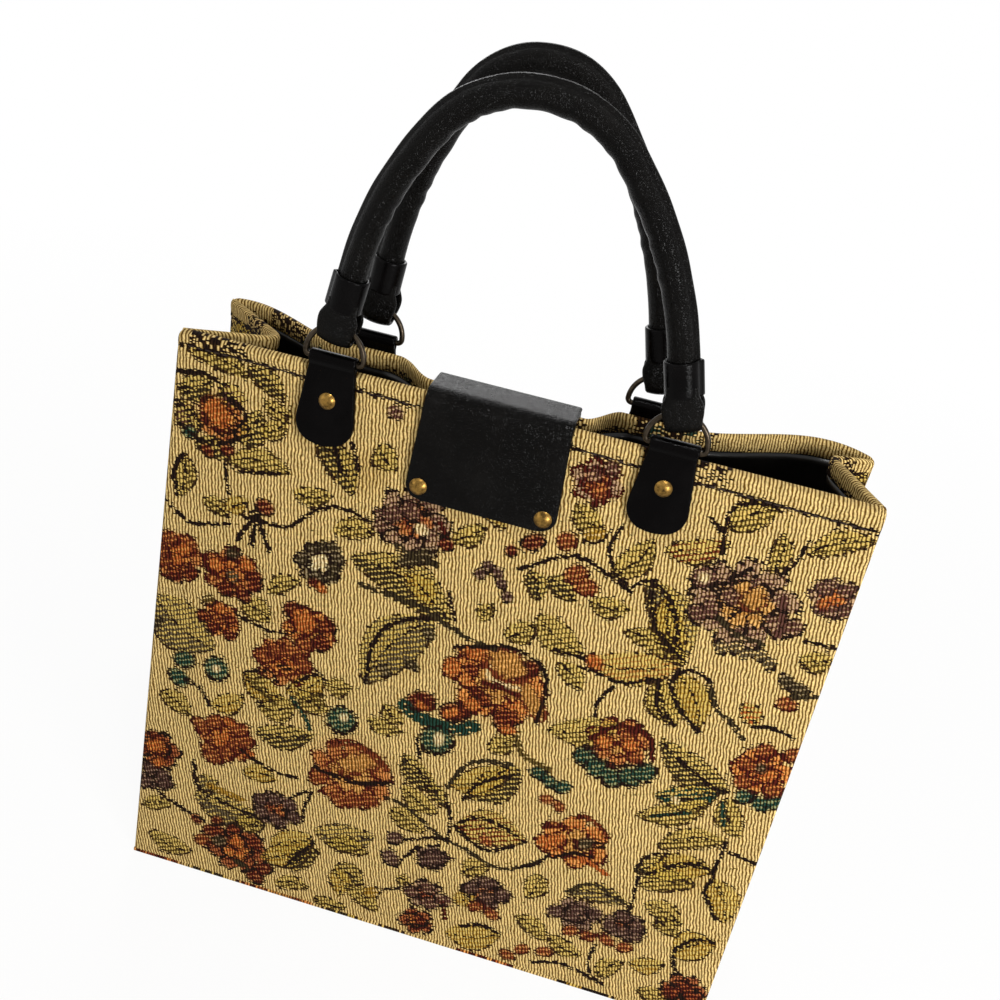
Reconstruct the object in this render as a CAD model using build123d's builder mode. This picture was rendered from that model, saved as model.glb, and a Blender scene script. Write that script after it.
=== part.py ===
from build123d import *
from math import asin, cos, degrees, hypot, radians, sin, sqrt
import os

# A boxy tapestry carpet bag with leather tabs, wire rings, rolled handles and a closing strap.
# Millimetres. X runs across the front, Y from the front to the back and Z up from the floor.
# The origin is on the floor, under the middle of the base.

# Body
body_width = 330.0
body_height = 311.0
base_depth = 96.0
panel_thickness = 3.0
gusset_thickness = 2.0
hem_thickness = 1.3
hem_depth = 9.0
rim_rounding = 1.9
base_thickness = 2.0
base_corner_radius = 2.0
hem_relief = 14.0
layer_gap = 0.2
overrun = 2.0

# Mouth: where the outer faces of the two rims lie in Y, and where the back rim bends along X
front_rim_y = -29.0
back_middle_y = -10.0
back_tab_y = 10.0
left_bulge_y = 44.0
right_bulge_y = 66.0
back_corner_y = 32.0
back_middle_half = 36.5
tab_flat_inner = 14.0
tab_flat_outer = 15.5
slope_shift_share = 0.7
bezier_shares = (1 / 3, 2 / 3)

# Gusset folds: how far in from the side each crease comes at the rim, and where it lies in Y
left_fold_depth = 40.6
left_fold_y = -6.5
right_fold_depth = 20.0
right_fold_y = 22.0

# Lining, and the stiff board under its floor
lining_thickness = 0.8
lining_relief = 7.0
lining_gusset_gap = 0.8
lining_corner_share = 0.32
board_thickness = 2.0
board_margin = 6.0

# Fittings: the strap and the tabs are sewn on left of the bag's middle, the back tabs a little more
fittings_shift = -9.8
back_tab_shift = -3.2

# Leather tabs and their rivets
tab_leather = 1.8
tab_spacing = 158.0
back_tab_spacing = 140.0
tab_top_width = 22.4
tab_bottom_width = 30.0
tab_drop = 37.0
tab_corner_radius = 11.0
tab_eye_rise = 4.5
tab_rivet_drop = 15.0
rivet_head_radius = 4.0
rivet_head_height = 1.8
rivet_shank_radius = 1.6
shank_clearance = 0.1

# Wire rings
ring_wire_radius = 1.3
ring_width = 30.0
ring_corner_radius = 2.2
ring_bar_clearance = 0.25

# Rolled handles, with a welt along the outside of the bend: the left and right limbs' lean in degrees,
# where the crown lies from the tabs' middle, and how far it rises from the rings
roll_thickness = 12.0
roll_width = 12.4
welt_thickness = 2.4
welt_height = 1.4
handle_straight = 30.0
shoulder_turn = 26.0
front_handle_leans = (9.0, 16.0)
front_crown_shift = -6.2
front_handle_rise = 116.0
back_handle_leans = (6.0, 15.0)
back_crown_shift = -9.3
back_handle_rise = 124.7
loop_width = 17.0
loop_leather = 2.3
loop_clearance = 0.45
sleeve_leather = 1.6
sleeve_length = 16.0
sleeve_start = 10.0
sleeve_clearance = 0.15

# Closing strap: the flap that opens, and the strip that holds it on the back
flap_leather = 2.2
flap_lift = 1.0
flap_standoff = 1.4
flap_bend_radius = 5.0
flap_drop = 51.0
flap_top_width = 69.0
flap_bottom_width = 73.0
flap_corner_radius = 8.0
flap_hinge_clearance = 0.25
anchor_drop = 46.0
fastener_inset = 6.5

# Press studs: caps on the flap, studs on the front panel
cap_radius = 4.2
cap_height = 1.8
socket_radius = 3.4
socket_height = 0.9
socket_roof = 0.3
socket_bore_radius = 2.3
stud_radius = 1.3
stud_rise = 0.9
stud_flange_radius = 3.4
stud_flange_height = 0.25

os.makedirs("parts", exist_ok=True)

half_width = body_width / 2
half_depth = base_depth / 2
rim_thickness = panel_thickness + hem_thickness
gusset_rim = gusset_thickness + hem_thickness
hem_bottom = body_height - hem_depth
lining_inset = panel_thickness + layer_gap
lining_floor = base_thickness + board_thickness + layer_gap
lining_top = hem_bottom - layer_gap
front_tab_half = tab_spacing / 2
back_tab_half = back_tab_spacing / 2
back_tab_middle = fittings_shift + back_tab_shift


def between(start, end, share):
    """Value that lies a share of the way from start to end."""
    return start + (end - start) * share


def point_between(start, end, share):
    """Point that lies a share of the way from start to end."""
    return tuple(between(a, b, share) for a, b in zip(start, end))


def front_outer_y(height):
    """Y of the front panel's outer face, which leans back from the base to the rim."""
    return between(-half_depth, front_rim_y, height / body_height)


def leaning_face(middle, rim_y, outward):
    """Plane on a leaning panel: its origin on the rim, its Y up the panel, its Z outward."""
    return Plane(
        origin=(middle, rim_y, body_height),
        x_dir=(-outward, 0, 0),
        z_dir=(0, outward * body_height, half_depth - outward * rim_y),
    )


def face_point(face, across, up, out):
    """Place square to a leaning panel: across from its origin, up from the rim, out from the face."""
    return Plane(face.from_local_coords((across, up, out)), x_dir=face.x_dir, z_dir=face.z_dir)


def finish(piece, name):
    """Label a finished piece and write its STEP file."""
    piece.part.label = name
    export_step(piece.part, f"parts/{name}.step")


front_face = leaning_face(fittings_shift, front_rim_y, -1)
back_tab_face = leaning_face(back_tab_middle, back_tab_y, 1)
back_middle_face = leaning_face(fittings_shift, back_middle_y, 1)
tab_rows = {"front": (front_face, front_tab_half), "back": (back_tab_face, back_tab_half)}
sides = (-1, 1)
hands = {-1: "left", 1: "right"}
bulges = {-1: left_bulge_y, 1: right_bulge_y}
fastener_across = flap_bottom_width / 2 - fastener_inset
stud_up = fastener_inset - flap_drop
anchor_across = flap_top_width / 2 - fastener_inset
anchor_up = fastener_inset - anchor_drop


# Front panel: one profile with a turned hem under its rounded rim, drawn out across the bag
with BuildPart() as front_panel:
    with BuildSketch(Plane.YZ):
        with BuildLine():
            Polyline(
                (front_outer_y(base_thickness), base_thickness),
                (front_rim_y, body_height),
                (front_rim_y + panel_thickness, body_height),
                (front_outer_y(base_thickness) + panel_thickness, base_thickness),
                close=True,
            )
        make_face()
    extrude(amount=half_width, both=True)
    with BuildSketch(Plane.YZ):
        with BuildLine():
            Polyline(
                (front_outer_y(hem_bottom), hem_bottom),
                (front_rim_y, body_height),
                (front_rim_y + rim_thickness, body_height),
                (front_outer_y(hem_bottom) + rim_thickness, hem_bottom),
                close=True,
            )
        make_face()
    extrude(amount=half_width - hem_relief, both=True)
    rim_edges = front_panel.faces().sort_by(Axis.Z)[-1].edges().filter_by(Axis.X)
    fillet(rim_edges.group_by(Axis.Y)[0], radius=rim_rounding)
    long_edges = front_panel.edges().filter_by(Axis.X)
    fillet(long_edges.group_by(Axis.Y)[-1].sort_by(Axis.Z)[-1], radius=rim_rounding)
    rivet_places = [face_point(front_face, side * front_tab_half, -tab_rivet_drop, 0) for side in sides]
    stud_places = [face_point(front_face, side * fastener_across, stud_up, 0) for side in sides]
    with Locations(*rivet_places, *stud_places):
        Hole(radius=rivet_shank_radius + shank_clearance)
finish(front_panel, "front_panel")


# Back panel: straight at the base and bent at the rim, where the strap pulls its middle forward
def bezier_start(points, share):
    """First part of a cubic curve, up to a share of it, by repeated division."""
    first = [point_between(a, b, share) for a, b in zip(points, points[1:])]
    second = [point_between(a, b, share) for a, b in zip(first, first[1:])]
    return points[0], first[0], second[0], point_between(second[0], second[1], share)


def back_curve(height, inset, relief=0):
    """Draw the back wall's line at one height and inset, and give its left and right ends."""
    share = height / body_height
    base_y = half_depth - inset
    middle_y = between(base_y, back_middle_y - inset, share)
    tab_y = between(base_y, back_tab_y - inset, share)
    corner_y = between(base_y, back_corner_y - inset, share)
    widening = slope_shift_share * inset
    near_share, far_share = bezier_shares
    middles = []
    ends = []
    for side in sides:
        bulge_y = between(base_y, bulges[side] - inset, share)
        middle = fittings_shift + side * (back_middle_half + widening)
        tab_start = back_tab_middle + side * (back_tab_half - tab_flat_inner + widening)
        tab_end = back_tab_middle + side * (back_tab_half + tab_flat_outer)
        corner = side * half_width
        slope = (
            (middle, middle_y),
            (between(middle, tab_start, near_share), middle_y),
            (between(middle, tab_start, far_share), tab_y),
            (tab_start, tab_y),
        )
        bulge = (
            (tab_end, tab_y),
            (between(tab_end, corner, near_share), tab_y),
            (between(tab_end, corner, far_share), bulge_y),
            (corner, corner_y),
        )
        bulge = bezier_start(bulge, 1 - relief / abs(corner - tab_end))
        Bezier(*slope)
        Line(slope[-1], bulge[0])
        Bezier(*bulge)
        middles.append(slope[0])
        ends.append(bulge[-1])
    Line(*middles)
    return ends


def back_band(height, near, far, relief=0):
    """Face between two insets of the back wall, at one height."""
    with BuildSketch(Plane.XY.offset(height)) as band:
        with BuildLine():
            outer_ends = back_curve(height, near, relief)
            inner_ends = back_curve(height, far, relief)
            for ends in zip(outer_ends, inner_ends):
                Line(*ends)
        make_face()
    return band.sketch


with BuildPart() as back_panel:
    loft([back_band(height, 0, panel_thickness) for height in (base_thickness, body_height)], ruled=True)
    hem_start = panel_thickness / 2
    loft(
        [back_band(height, hem_start, rim_thickness, hem_relief) for height in (hem_bottom, body_height)],
        ruled=True,
    )
    rivet_places = [face_point(back_tab_face, side * back_tab_half, -tab_rivet_drop, 0) for side in sides]
    anchor_places = [face_point(back_middle_face, side * anchor_across, anchor_up, 0) for side in sides]
    with Locations(*rivet_places, *anchor_places):
        Hole(radius=rivet_shank_radius + shank_clearance)
finish(back_panel, "back_panel")


# Gussets: flat at the base, folded inwards in a V at the rim
def gusset_line(height, inset, fold_depth, fold_y):
    """Front end, crease and back end of a right-hand gusset's line, at one height and inset."""
    share = height / body_height
    front = (half_width, front_outer_y(height) + lining_inset)
    crease = (half_width - fold_depth * share, fold_y * share)
    back = (half_width, between(half_depth, back_corner_y, share) - lining_inset)
    normals = []
    for start, end in ((front, crease), (crease, back)):
        run = hypot(end[0] - start[0], end[1] - start[1])
        normals.append(((start[1] - end[1]) / run, (end[0] - start[0]) / run))
    (front_nx, front_ny), (back_nx, back_ny) = normals
    miter = inset / (1 + front_nx * back_nx + front_ny * back_ny)
    return (
        (front[0] + inset / front_nx, front[1]),
        (crease[0] + (front_nx + back_nx) * miter, crease[1] + (front_ny + back_ny) * miter),
        (back[0] + inset / back_nx, back[1]),
    )


def gusset_band(height, near, far, side, fold_depth, fold_y):
    """Face between two insets of a gusset, at one height."""
    outer = gusset_line(height, near, fold_depth, fold_y)
    inner = gusset_line(height, far, fold_depth, fold_y)
    with BuildSketch(Plane.XY.offset(height)) as band:
        with BuildLine():
            Polyline(*[(side * x, y) for x, y in outer + inner[::-1]], close=True)
        make_face()
    return band.sketch


gusset_folds = {-1: (left_fold_depth, left_fold_y), 1: (right_fold_depth, right_fold_y)}
for side, fold in gusset_folds.items():
    with BuildPart() as gusset:
        for start, near, far in (
            (base_thickness, 0, gusset_thickness),
            (hem_bottom, gusset_thickness / 2, gusset_rim),
        ):
            loft(
                [gusset_band(height, near, far, side, *fold) for height in (start, body_height)],
                ruled=True,
            )
    finish(gusset, f"{hands[side]}_gusset")


# Base: a tapestry bottom with rounded corners, and a stiff board on it
with BuildPart() as base_panel:
    with BuildSketch():
        RectangleRounded(body_width, base_depth, base_corner_radius)
    extrude(amount=base_thickness)
finish(base_panel, "base_panel")

with BuildPart() as base_board:
    with BuildSketch(Plane.XY.offset(base_thickness)):
        Rectangle(
            body_width - 2 * (gusset_thickness + board_margin),
            base_depth - 2 * (panel_thickness + board_margin),
        )
    extrude(amount=board_thickness)
finish(base_board, "base_board")


# Lining: a thin open bag that follows the walls inside, up to the hem
def lining_section(height, inset):
    """Closed outline of the lining at one height, a given distance in from its outer face."""
    front_y = front_outer_y(height) + lining_inset + inset
    with BuildSketch(Plane.XY.offset(height)) as section:
        with BuildLine():
            back_ends = back_curve(height, lining_inset + inset, lining_relief)
            front_ends = []
            for side, back_end in zip(sides, back_ends):
                fold = gusset_folds[side]
                front, crease, back = gusset_line(height, gusset_thickness + lining_gusset_gap + inset, *fold)
                front_turn = point_between(front, crease, lining_corner_share)
                back_turn = point_between(back, crease, lining_corner_share)
                front_end = (front_turn[0], front_y)
                wall = [(side * x, y) for x, y in (front_end, front_turn, crease, back_turn)]
                Polyline(*wall, back_end)
                front_ends.append(wall[0])
            Line(*front_ends)
        make_face()
    return section.sketch


with BuildPart() as lining:
    loft([lining_section(height, 0) for height in (lining_floor, lining_top)], ruled=True)
    floor_top = lining_floor + lining_thickness
    loft(
        [lining_section(height, lining_thickness) for height in (floor_top, lining_top)],
        ruled=True,
        mode=Mode.SUBTRACT,
    )
finish(lining, "lining")


# Leather tabs: a strap folded round the ring's bar, wider and rounded below
eye_bore = ring_wire_radius + ring_bar_clearance
tab_total = 2 * tab_leather
ring_places = {}


def handle_tab(face, across):
    """One folded tab on a leaning panel, with its eye above the rim and its rivet hole."""
    eye = face_point(face, across, tab_eye_rise, tab_leather)
    side_plane = Plane(eye.origin, x_dir=face.z_dir, z_dir=-face.x_dir)
    front_plane = face_point(face, across, 0, 0)
    eye_top = tab_eye_rise + eye_bore + tab_leather
    with BuildPart() as tab:
        with BuildSketch(side_plane):
            Circle(eye_bore + tab_leather)
            strap_length = tab_eye_rise + tab_drop
            with Locations((0, -strap_length / 2)):
                Rectangle(tab_total, strap_length)
            Circle(eye_bore, mode=Mode.SUBTRACT)
        extrude(amount=tab_bottom_width / 2, both=True)
        with BuildSketch(front_plane.offset(-tab_total)) as outline:
            with BuildLine():
                Polyline(
                    (-tab_top_width / 2, eye_top),
                    (tab_top_width / 2, eye_top),
                    (tab_top_width / 2, 0),
                    (tab_bottom_width / 2, -tab_drop),
                    (-tab_bottom_width / 2, -tab_drop),
                    (-tab_top_width / 2, 0),
                    close=True,
                )
            make_face()
            fillet(outline.vertices().group_by(Axis.Y)[0], radius=tab_corner_radius)
        extrude(amount=3 * tab_total, mode=Mode.INTERSECT)
        with Locations(face_point(face, across, -tab_rivet_drop, tab_total)):
            Hole(radius=rivet_shank_radius + shank_clearance)
    return tab, eye.origin


for wall, (face, half) in tab_rows.items():
    for side, hand in hands.items():
        tab, bar = handle_tab(face, side * half * face.x_dir.X)
        ring_places[wall, side] = bar
        finish(tab, f"{wall}_{hand}_tab")


# Rivets: a domed head on a plain shank that reaches through to the panel's inner face
def dome_arc(radius, height):
    """Draw a head's round top, from its edge to its middle, in a sketch whose Y is the head's axis."""
    sphere = (radius**2 + height**2) / (2 * height)
    edge_angle = degrees(asin((sphere - height) / sphere))
    return CenterArc((0, height - sphere), sphere, edge_angle, 90 - edge_angle)


def domed_rivet(grip):
    """One rivet with its head's seat at the origin and its head along +Z."""
    with BuildPart() as rivet:
        with BuildSketch(Plane.XZ):
            with BuildLine():
                dome = dome_arc(rivet_head_radius, rivet_head_height)
                Polyline(
                    dome @ 1,
                    (0, -grip),
                    (rivet_shank_radius, -grip),
                    (rivet_shank_radius, 0),
                    dome @ 0,
                )
            make_face()
        revolve(axis=Axis.Z)
    return rivet.part


tab_rivet = domed_rivet(tab_total + panel_thickness)
with BuildPart() as tab_rivets:
    for face, half in tab_rows.values():
        with Locations(*[face_point(face, side * half, -tab_rivet_drop, tab_total) for side in sides]):
            add(tab_rivet)
finish(tab_rivets, "tab_rivets")


# Rings: a D of round wire, its straight bar in the tab's eye
ring_half = ring_width / 2 - ring_wire_radius
bar_half = ring_half - ring_corner_radius
ring_top = ring_corner_radius + ring_half


def wire_ring(bar):
    """One ring, upright over the middle of its bar."""
    plane = Plane(bar, x_dir=(1, 0, 0), z_dir=(0, -1, 0))
    with BuildPart() as ring:
        with BuildLine(plane) as path:
            Line((-bar_half, 0), (bar_half, 0))
            JernArc((bar_half, 0), (1, 0), ring_corner_radius, 90)
            JernArc((ring_half, ring_corner_radius), (0, 1), ring_half, 180)
            JernArc((-ring_half, ring_corner_radius), (0, -1), ring_corner_radius, 90)
        with BuildSketch(Plane(bar, z_dir=(1, 0, 0))):
            Circle(ring_wire_radius)
        sweep(path=path.wire())
    return ring


for (wall, side), bar in ring_places.items():
    finish(wire_ring(bar), f"{wall}_{hands[side]}_ring")


# Handles: a leather roll over an arch of tangent arcs, ending in a flat loop round each ring
loop_half = loop_width / 2
bow_sag = ring_half - sqrt(ring_half**2 - loop_half**2)
loop_rise = ring_top - bow_sag / 2
loop_bore = bow_sag / 2 + ring_wire_radius + loop_clearance
loop_radius = loop_bore + loop_leather


def roll_section(extra, mode=Mode.ADD):
    """Draw the roll's oval section with its welt, grown by extra all round."""
    Ellipse(roll_thickness / 2 + extra, roll_width / 2 + extra, mode=mode)
    reach = roll_width / 2 + welt_height + extra
    with Locations((0, reach / 2)):
        Rectangle(welt_thickness + 2 * extra, reach, mode=mode)


def arch_radii(lean, span, rise):
    """Shoulder and crown radii that bring one side of an arch level at its crown."""
    heading = radians(90 - lean)
    shoulder = radians(90 - lean - shoulder_turn)
    reach = span - handle_straight * cos(heading)
    climb = rise - handle_straight * sin(heading)
    shoulder_x, shoulder_z = sin(heading) - sin(shoulder), cos(shoulder) - cos(heading)
    crown_x, crown_z = sin(shoulder), 1 - cos(shoulder)
    scale = shoulder_x * crown_z - crown_x * shoulder_z
    return (reach * crown_z - crown_x * climb) / scale, (shoulder_x * climb - shoulder_z * reach) / scale


def limb_point(half, lean, side, along):
    """Point on a limb's straight part, in the handle's plane, a distance along it from the ring."""
    return side * (half - along * sin(radians(lean))), along * cos(radians(lean))


def limb_plane(plane, half, lean, side, along):
    """Plane across a limb, with its Y towards the outside of the arch."""
    return Plane(
        plane.from_local_coords(limb_point(half, lean, side, along)),
        x_dir=(0, -side, 0),
        z_dir=(-side * sin(radians(lean)), 0, cos(radians(lean))),
    )


def plane_point(plane, place):
    """A place in space as a point of the handle's plane."""
    local = plane.to_local_coords(place)
    return local.X, local.Y


def rolled_handle(plane, half, leans, crown_shift, rise):
    """One handle, in the upright plane over its ring bars, drawn from its left ring to its right one."""
    left_lean, right_lean = leans
    left_shoulder, left_crown = arch_radii(left_lean, half + crown_shift, rise)
    right_shoulder, right_crown = arch_radii(right_lean, half - crown_shift, rise)
    left_turn = 90 - left_lean - shoulder_turn
    right_turn = 90 - right_lean - shoulder_turn
    roll_start = sleeve_start / 2
    with BuildPart() as handle:
        with BuildLine(plane) as path:
            place = limb_point(half, left_lean, -1, handle_straight)
            Line(limb_point(half, left_lean, -1, roll_start), place)
            heading = 90 - left_lean
            for radius, turn in (
                (left_shoulder, shoulder_turn),
                (left_crown, left_turn),
                (right_crown, right_turn),
                (right_shoulder, shoulder_turn),
            ):
                arc = JernArc(place, (cos(radians(heading)), sin(radians(heading))), radius, -turn)
                place = plane_point(plane, arc @ 1)
                heading -= turn
            Line(place, limb_point(half, right_lean, 1, roll_start))
        with BuildSketch(limb_plane(plane, half, left_lean, -1, roll_start)):
            roll_section(0)
        sweep(path=path.wire())
        for side, lean in zip(sides, leans):
            neck_x, neck_z = limb_point(half, lean, side, sleeve_start - sleeve_clearance)
            neck_z -= roll_width / 2 * sin(radians(lean))
            with BuildSketch(plane):
                with BuildLine():
                    Polyline(
                        (side * half - loop_half, 0),
                        (side * half + loop_half, 0),
                        (neck_x + roll_width / 2, neck_z),
                        (neck_x - roll_width / 2, neck_z),
                        close=True,
                    )
                make_face()
            extrude(amount=loop_radius, both=True)
            loop_plane = Plane(plane.from_local_coords((side * half, 0)), z_dir=(1, 0, 0))
            with BuildSketch(loop_plane):
                Circle(loop_radius)
            extrude(amount=loop_half, both=True)
            with BuildSketch(loop_plane):
                Circle(loop_bore)
            extrude(amount=loop_width, both=True, mode=Mode.SUBTRACT)
    return handle


def handle_sleeve(plane, half, lean, side):
    """One leather sleeve round the foot of a handle's limb."""
    with BuildPart() as sleeve:
        with BuildSketch(limb_plane(plane, half, lean, side, sleeve_start)):
            roll_section(sleeve_clearance + sleeve_leather)
            roll_section(sleeve_clearance, mode=Mode.SUBTRACT)
        extrude(amount=sleeve_length)
    return sleeve


handle_forms = {
    "front": (front_handle_leans, front_crown_shift, front_handle_rise),
    "back": (back_handle_leans, back_crown_shift, back_handle_rise),
}
for wall, (leans, crown_shift, rise) in handle_forms.items():
    face, half = tab_rows[wall]
    bar = ring_places[wall, 1]
    plane = Plane((face.origin.X, bar.Y, bar.Z + loop_rise), x_dir=(1, 0, 0), z_dir=(0, -1, 0))
    finish(rolled_handle(plane, half, leans, crown_shift, rise), f"{wall}_handle")
    for (side, hand), lean in zip(hands.items(), leans):
        finish(handle_sleeve(plane, half, lean, side), f"{wall}_{hand}_sleeve")


# Closing flap: a strap from the back rim over the mouth and down the front, with rounded lower corners
flap_middle = flap_standoff + flap_leather / 2
hinge_y = back_middle_y + flap_leather / 2
hinge_z = body_height + flap_lift + flap_leather / 2
fall_start = front_face.from_local_coords((0, 0, flap_middle))
fall_climb = (hinge_z - fall_start.Z) / front_face.y_dir.Z
bend = front_face.from_local_coords((0, fall_climb, flap_middle))
fall_end = front_face.from_local_coords((0, -flap_drop - overrun, flap_middle))
flap_bottom = front_face.from_local_coords((0, -flap_drop, flap_middle)).Z
flap_outer = flap_standoff + flap_leather
cap_places = [face_point(front_face, side * fastener_across, stud_up, flap_outer) for side in sides]
anchor_rivet_places = [
    face_point(back_middle_face, side * anchor_across, anchor_up, flap_leather) for side in sides
]

with BuildPart() as closing_flap:
    with BuildSketch(Plane.YZ.offset(fittings_shift)):
        with BuildLine():
            FilletPolyline(
                (hinge_y, hinge_z), (bend.Y, bend.Z), (fall_end.Y, fall_end.Z), radius=flap_bend_radius
            )
        trace(line_width=flap_leather)
        with Locations((hinge_y, hinge_z)):
            Circle(flap_leather / 2)
    extrude(amount=flap_bottom_width / 2, both=True)
    with BuildSketch(Plane((fittings_shift, 0, 0), x_dir=(1, 0, 0), z_dir=(0, -1, 0))) as outline:
        with BuildLine():
            Polyline(
                (-flap_bottom_width / 2, flap_bottom),
                (flap_bottom_width / 2, flap_bottom),
                (flap_top_width / 2, hinge_z + flap_leather),
                (-flap_top_width / 2, hinge_z + flap_leather),
                close=True,
            )
        make_face()
        fillet(outline.vertices().group_by(Axis.Y)[0], radius=flap_corner_radius)
    extrude(amount=base_depth, both=True, mode=Mode.INTERSECT)
    with Locations(*cap_places):
        Hole(radius=rivet_shank_radius + shank_clearance)
finish(closing_flap, "closing_flap")

with BuildPart() as flap_anchor:
    with BuildSketch(back_middle_face) as outline:
        anchor_tilt_rise = flap_leather * back_middle_face.z_dir.Z
        anchor_top = (flap_lift - flap_hinge_clearance - anchor_tilt_rise) / back_middle_face.y_dir.Z
        with Locations((0, (anchor_top - anchor_drop) / 2)):
            Rectangle(flap_top_width, anchor_top + anchor_drop)
        fillet(outline.vertices().group_by(Axis.Y)[0], radius=flap_corner_radius)
    extrude(amount=flap_leather)
    with Locations(*anchor_rivet_places):
        Hole(radius=rivet_shank_radius + shank_clearance)
finish(flap_anchor, "flap_anchor")

anchor_rivet = domed_rivet(flap_leather + panel_thickness)
with BuildPart() as anchor_rivets:
    with Locations(*anchor_rivet_places):
        add(anchor_rivet)
finish(anchor_rivets, "anchor_rivets")


# Press studs: a domed cap with a socket under the flap, and a stud on the panel that it pops over
with BuildPart() as snap_cap:
    with BuildSketch(Plane.XZ):
        with BuildLine():
            dome = dome_arc(cap_radius, cap_height)
            socket_top = -flap_leather
            socket_end = socket_top - socket_height
            Polyline(
                dome @ 0,
                (rivet_shank_radius, 0),
                (rivet_shank_radius, socket_top),
                (socket_radius, socket_top),
                (socket_radius, socket_end),
                (socket_bore_radius, socket_end),
                (socket_bore_radius, socket_top - socket_roof),
                (0, socket_top - socket_roof),
                dome @ 1,
            )
        make_face()
    revolve(axis=Axis.Z)

with BuildPart() as snap_caps:
    with Locations(*cap_places):
        add(snap_cap.part)
finish(snap_caps, "snap_caps")

with BuildPart() as snap_stud:
    with BuildSketch(Plane.XZ):
        with BuildLine():
            Polyline(
                (0, stud_rise),
                (stud_radius, stud_rise),
                (stud_radius, stud_flange_height),
                (stud_flange_radius, stud_flange_height),
                (stud_flange_radius, 0),
                (rivet_shank_radius, 0),
                (rivet_shank_radius, -panel_thickness),
                (0, -panel_thickness),
                close=True,
            )
        make_face()
    revolve(axis=Axis.Z)

with BuildPart() as snap_studs:
    with Locations(*stud_places):
        add(snap_stud.part)
finish(snap_studs, "snap_studs")
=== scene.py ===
"""Carpet bag: woven tapestry walls, leather strap, tabs and rolled handles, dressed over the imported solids."""

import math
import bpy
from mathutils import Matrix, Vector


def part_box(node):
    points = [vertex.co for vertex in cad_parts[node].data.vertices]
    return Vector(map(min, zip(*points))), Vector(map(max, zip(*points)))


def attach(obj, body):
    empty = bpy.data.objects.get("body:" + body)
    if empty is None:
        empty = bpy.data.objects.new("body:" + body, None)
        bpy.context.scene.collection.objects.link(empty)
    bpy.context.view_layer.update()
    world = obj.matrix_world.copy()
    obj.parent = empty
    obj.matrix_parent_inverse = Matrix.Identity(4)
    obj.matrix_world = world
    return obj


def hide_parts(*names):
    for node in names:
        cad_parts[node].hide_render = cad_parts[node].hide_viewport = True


bl_info = {
    "name": "Carpet bag",
    "version": (1, 0, 0),
    "blender": (4, 5, 0),
    "location": "3D View > Sidebar > Carpet bag",
    "description": "Tapestry carpet bag with leather strap, tabs and rolled handles",
    "category": "Add Mesh",
}

import bmesh
import bpy
import numpy as np
from bpy.props import FloatProperty, FloatVectorProperty, PointerProperty
from mathutils import Matrix, Vector

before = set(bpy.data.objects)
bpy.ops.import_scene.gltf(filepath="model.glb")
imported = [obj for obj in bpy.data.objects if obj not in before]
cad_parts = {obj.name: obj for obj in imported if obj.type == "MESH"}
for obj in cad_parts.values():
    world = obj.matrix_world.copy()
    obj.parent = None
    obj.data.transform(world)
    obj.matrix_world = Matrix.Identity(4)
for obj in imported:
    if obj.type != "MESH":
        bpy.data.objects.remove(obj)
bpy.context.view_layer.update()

MM = 0.001

# The walls, in millimetres, as the source of the solids has them.
HALF_WIDTH = 165.0
HEIGHT = 311.0
HALF_DEPTH = 48.0
FRONT_RIM_Y = -29.0
FITTINGS_X = -9.8
BACK_MIDDLE_Y = -10.0
BACK_TAB_Y = 10.0
BACK_CORNER_Y = 32.0
# Back rim, from left to right: both ends of each stretch, and the four control values of its curve in plan.
BACK_RIM = (
    (-165.0, -98.5, (32.0, 44.0, 10.0, 10.0)),
    (-98.5, -69.0, (10.0, 10.0, 10.0, 10.0)),
    (-69.0, -46.3, (10.0, 10.0, -10.0, -10.0)),
    (-46.3, 26.7, (-10.0, -10.0, -10.0, -10.0)),
    (26.7, 43.0, (-10.0, -10.0, 10.0, 10.0)),
    (43.0, 72.5, (10.0, 10.0, 10.0, 10.0)),
    (72.5, 165.0, (10.0, 10.0, 66.0, 32.0)),
)
# Each gusset's fold at the rim: how far in it reaches, and where it lies from front to back.
GUSSET_FOLDS = {-1: (40.6, -6.5), 1: (20.0, 22.0)}
# Middles of the tabs, from left to right.
FRONT_TABS = (-88.8, 69.2)
BACK_TABS = (-83.0, 57.0)
# Thickness of the panels and gussets, and of the hem that is turned in at their rims.
PANEL_THICK, PANEL_HEM = 3.0, 2.2
GUSSET_THICK, GUSSET_HEM = 2.0, 2.4
# Heights on the inside of a wall: round the hem's lower edge, and where the single cloth goes on.
HEM_EDGE = (306.0, 302.6, 301.4)
INSIDE_TOP = 296.0
# How much lower the corners of the rim are pulled.
CORNER_DROP = 3.2
# The ribs slant and curve: how far they shift to the side with the drop below the rim, and with its square.
RIB_SLANT, RIB_CURVE = 0.09, 0.00031
# How far each wall's cut of cloth is shifted on the design, so that no two are alike.
DESIGN_SHIFTS = {
    "front_panel": (0.0, 0.0),
    "back_panel": (118.0, 140.0),
    "left_gusset": (-60.0, 225.0),
    "right_gusset": (60.0, 225.0),
    "base_panel": (30.0, 150.0),
}
# The lining: its top, its floor, and how far it keeps inside the gussets and the panels.
LINING_TOP, LINING_FLOOR = 301.8, 4.2
LINING_SIDE_GAP, LINING_PANEL_GAP = 3.2, 3.8
LINING_THICK = 0.7
# The strap: half-width, how much it flares to its front end, corner radius, bend over the rim and ends.
STRAP_HALF, STRAP_FLARE, STRAP_CORNER = 34.5, 2.0, 8.0
STRAP_BEND, STRAP_BEND_Y, STRAP_BEND_END = 6.9, -24.8, 176.5
STRAP_TIP = (-34.6, 260.25)
ANCHOR_DROP, HINGE_GAP = 46.0, 0.2
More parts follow.
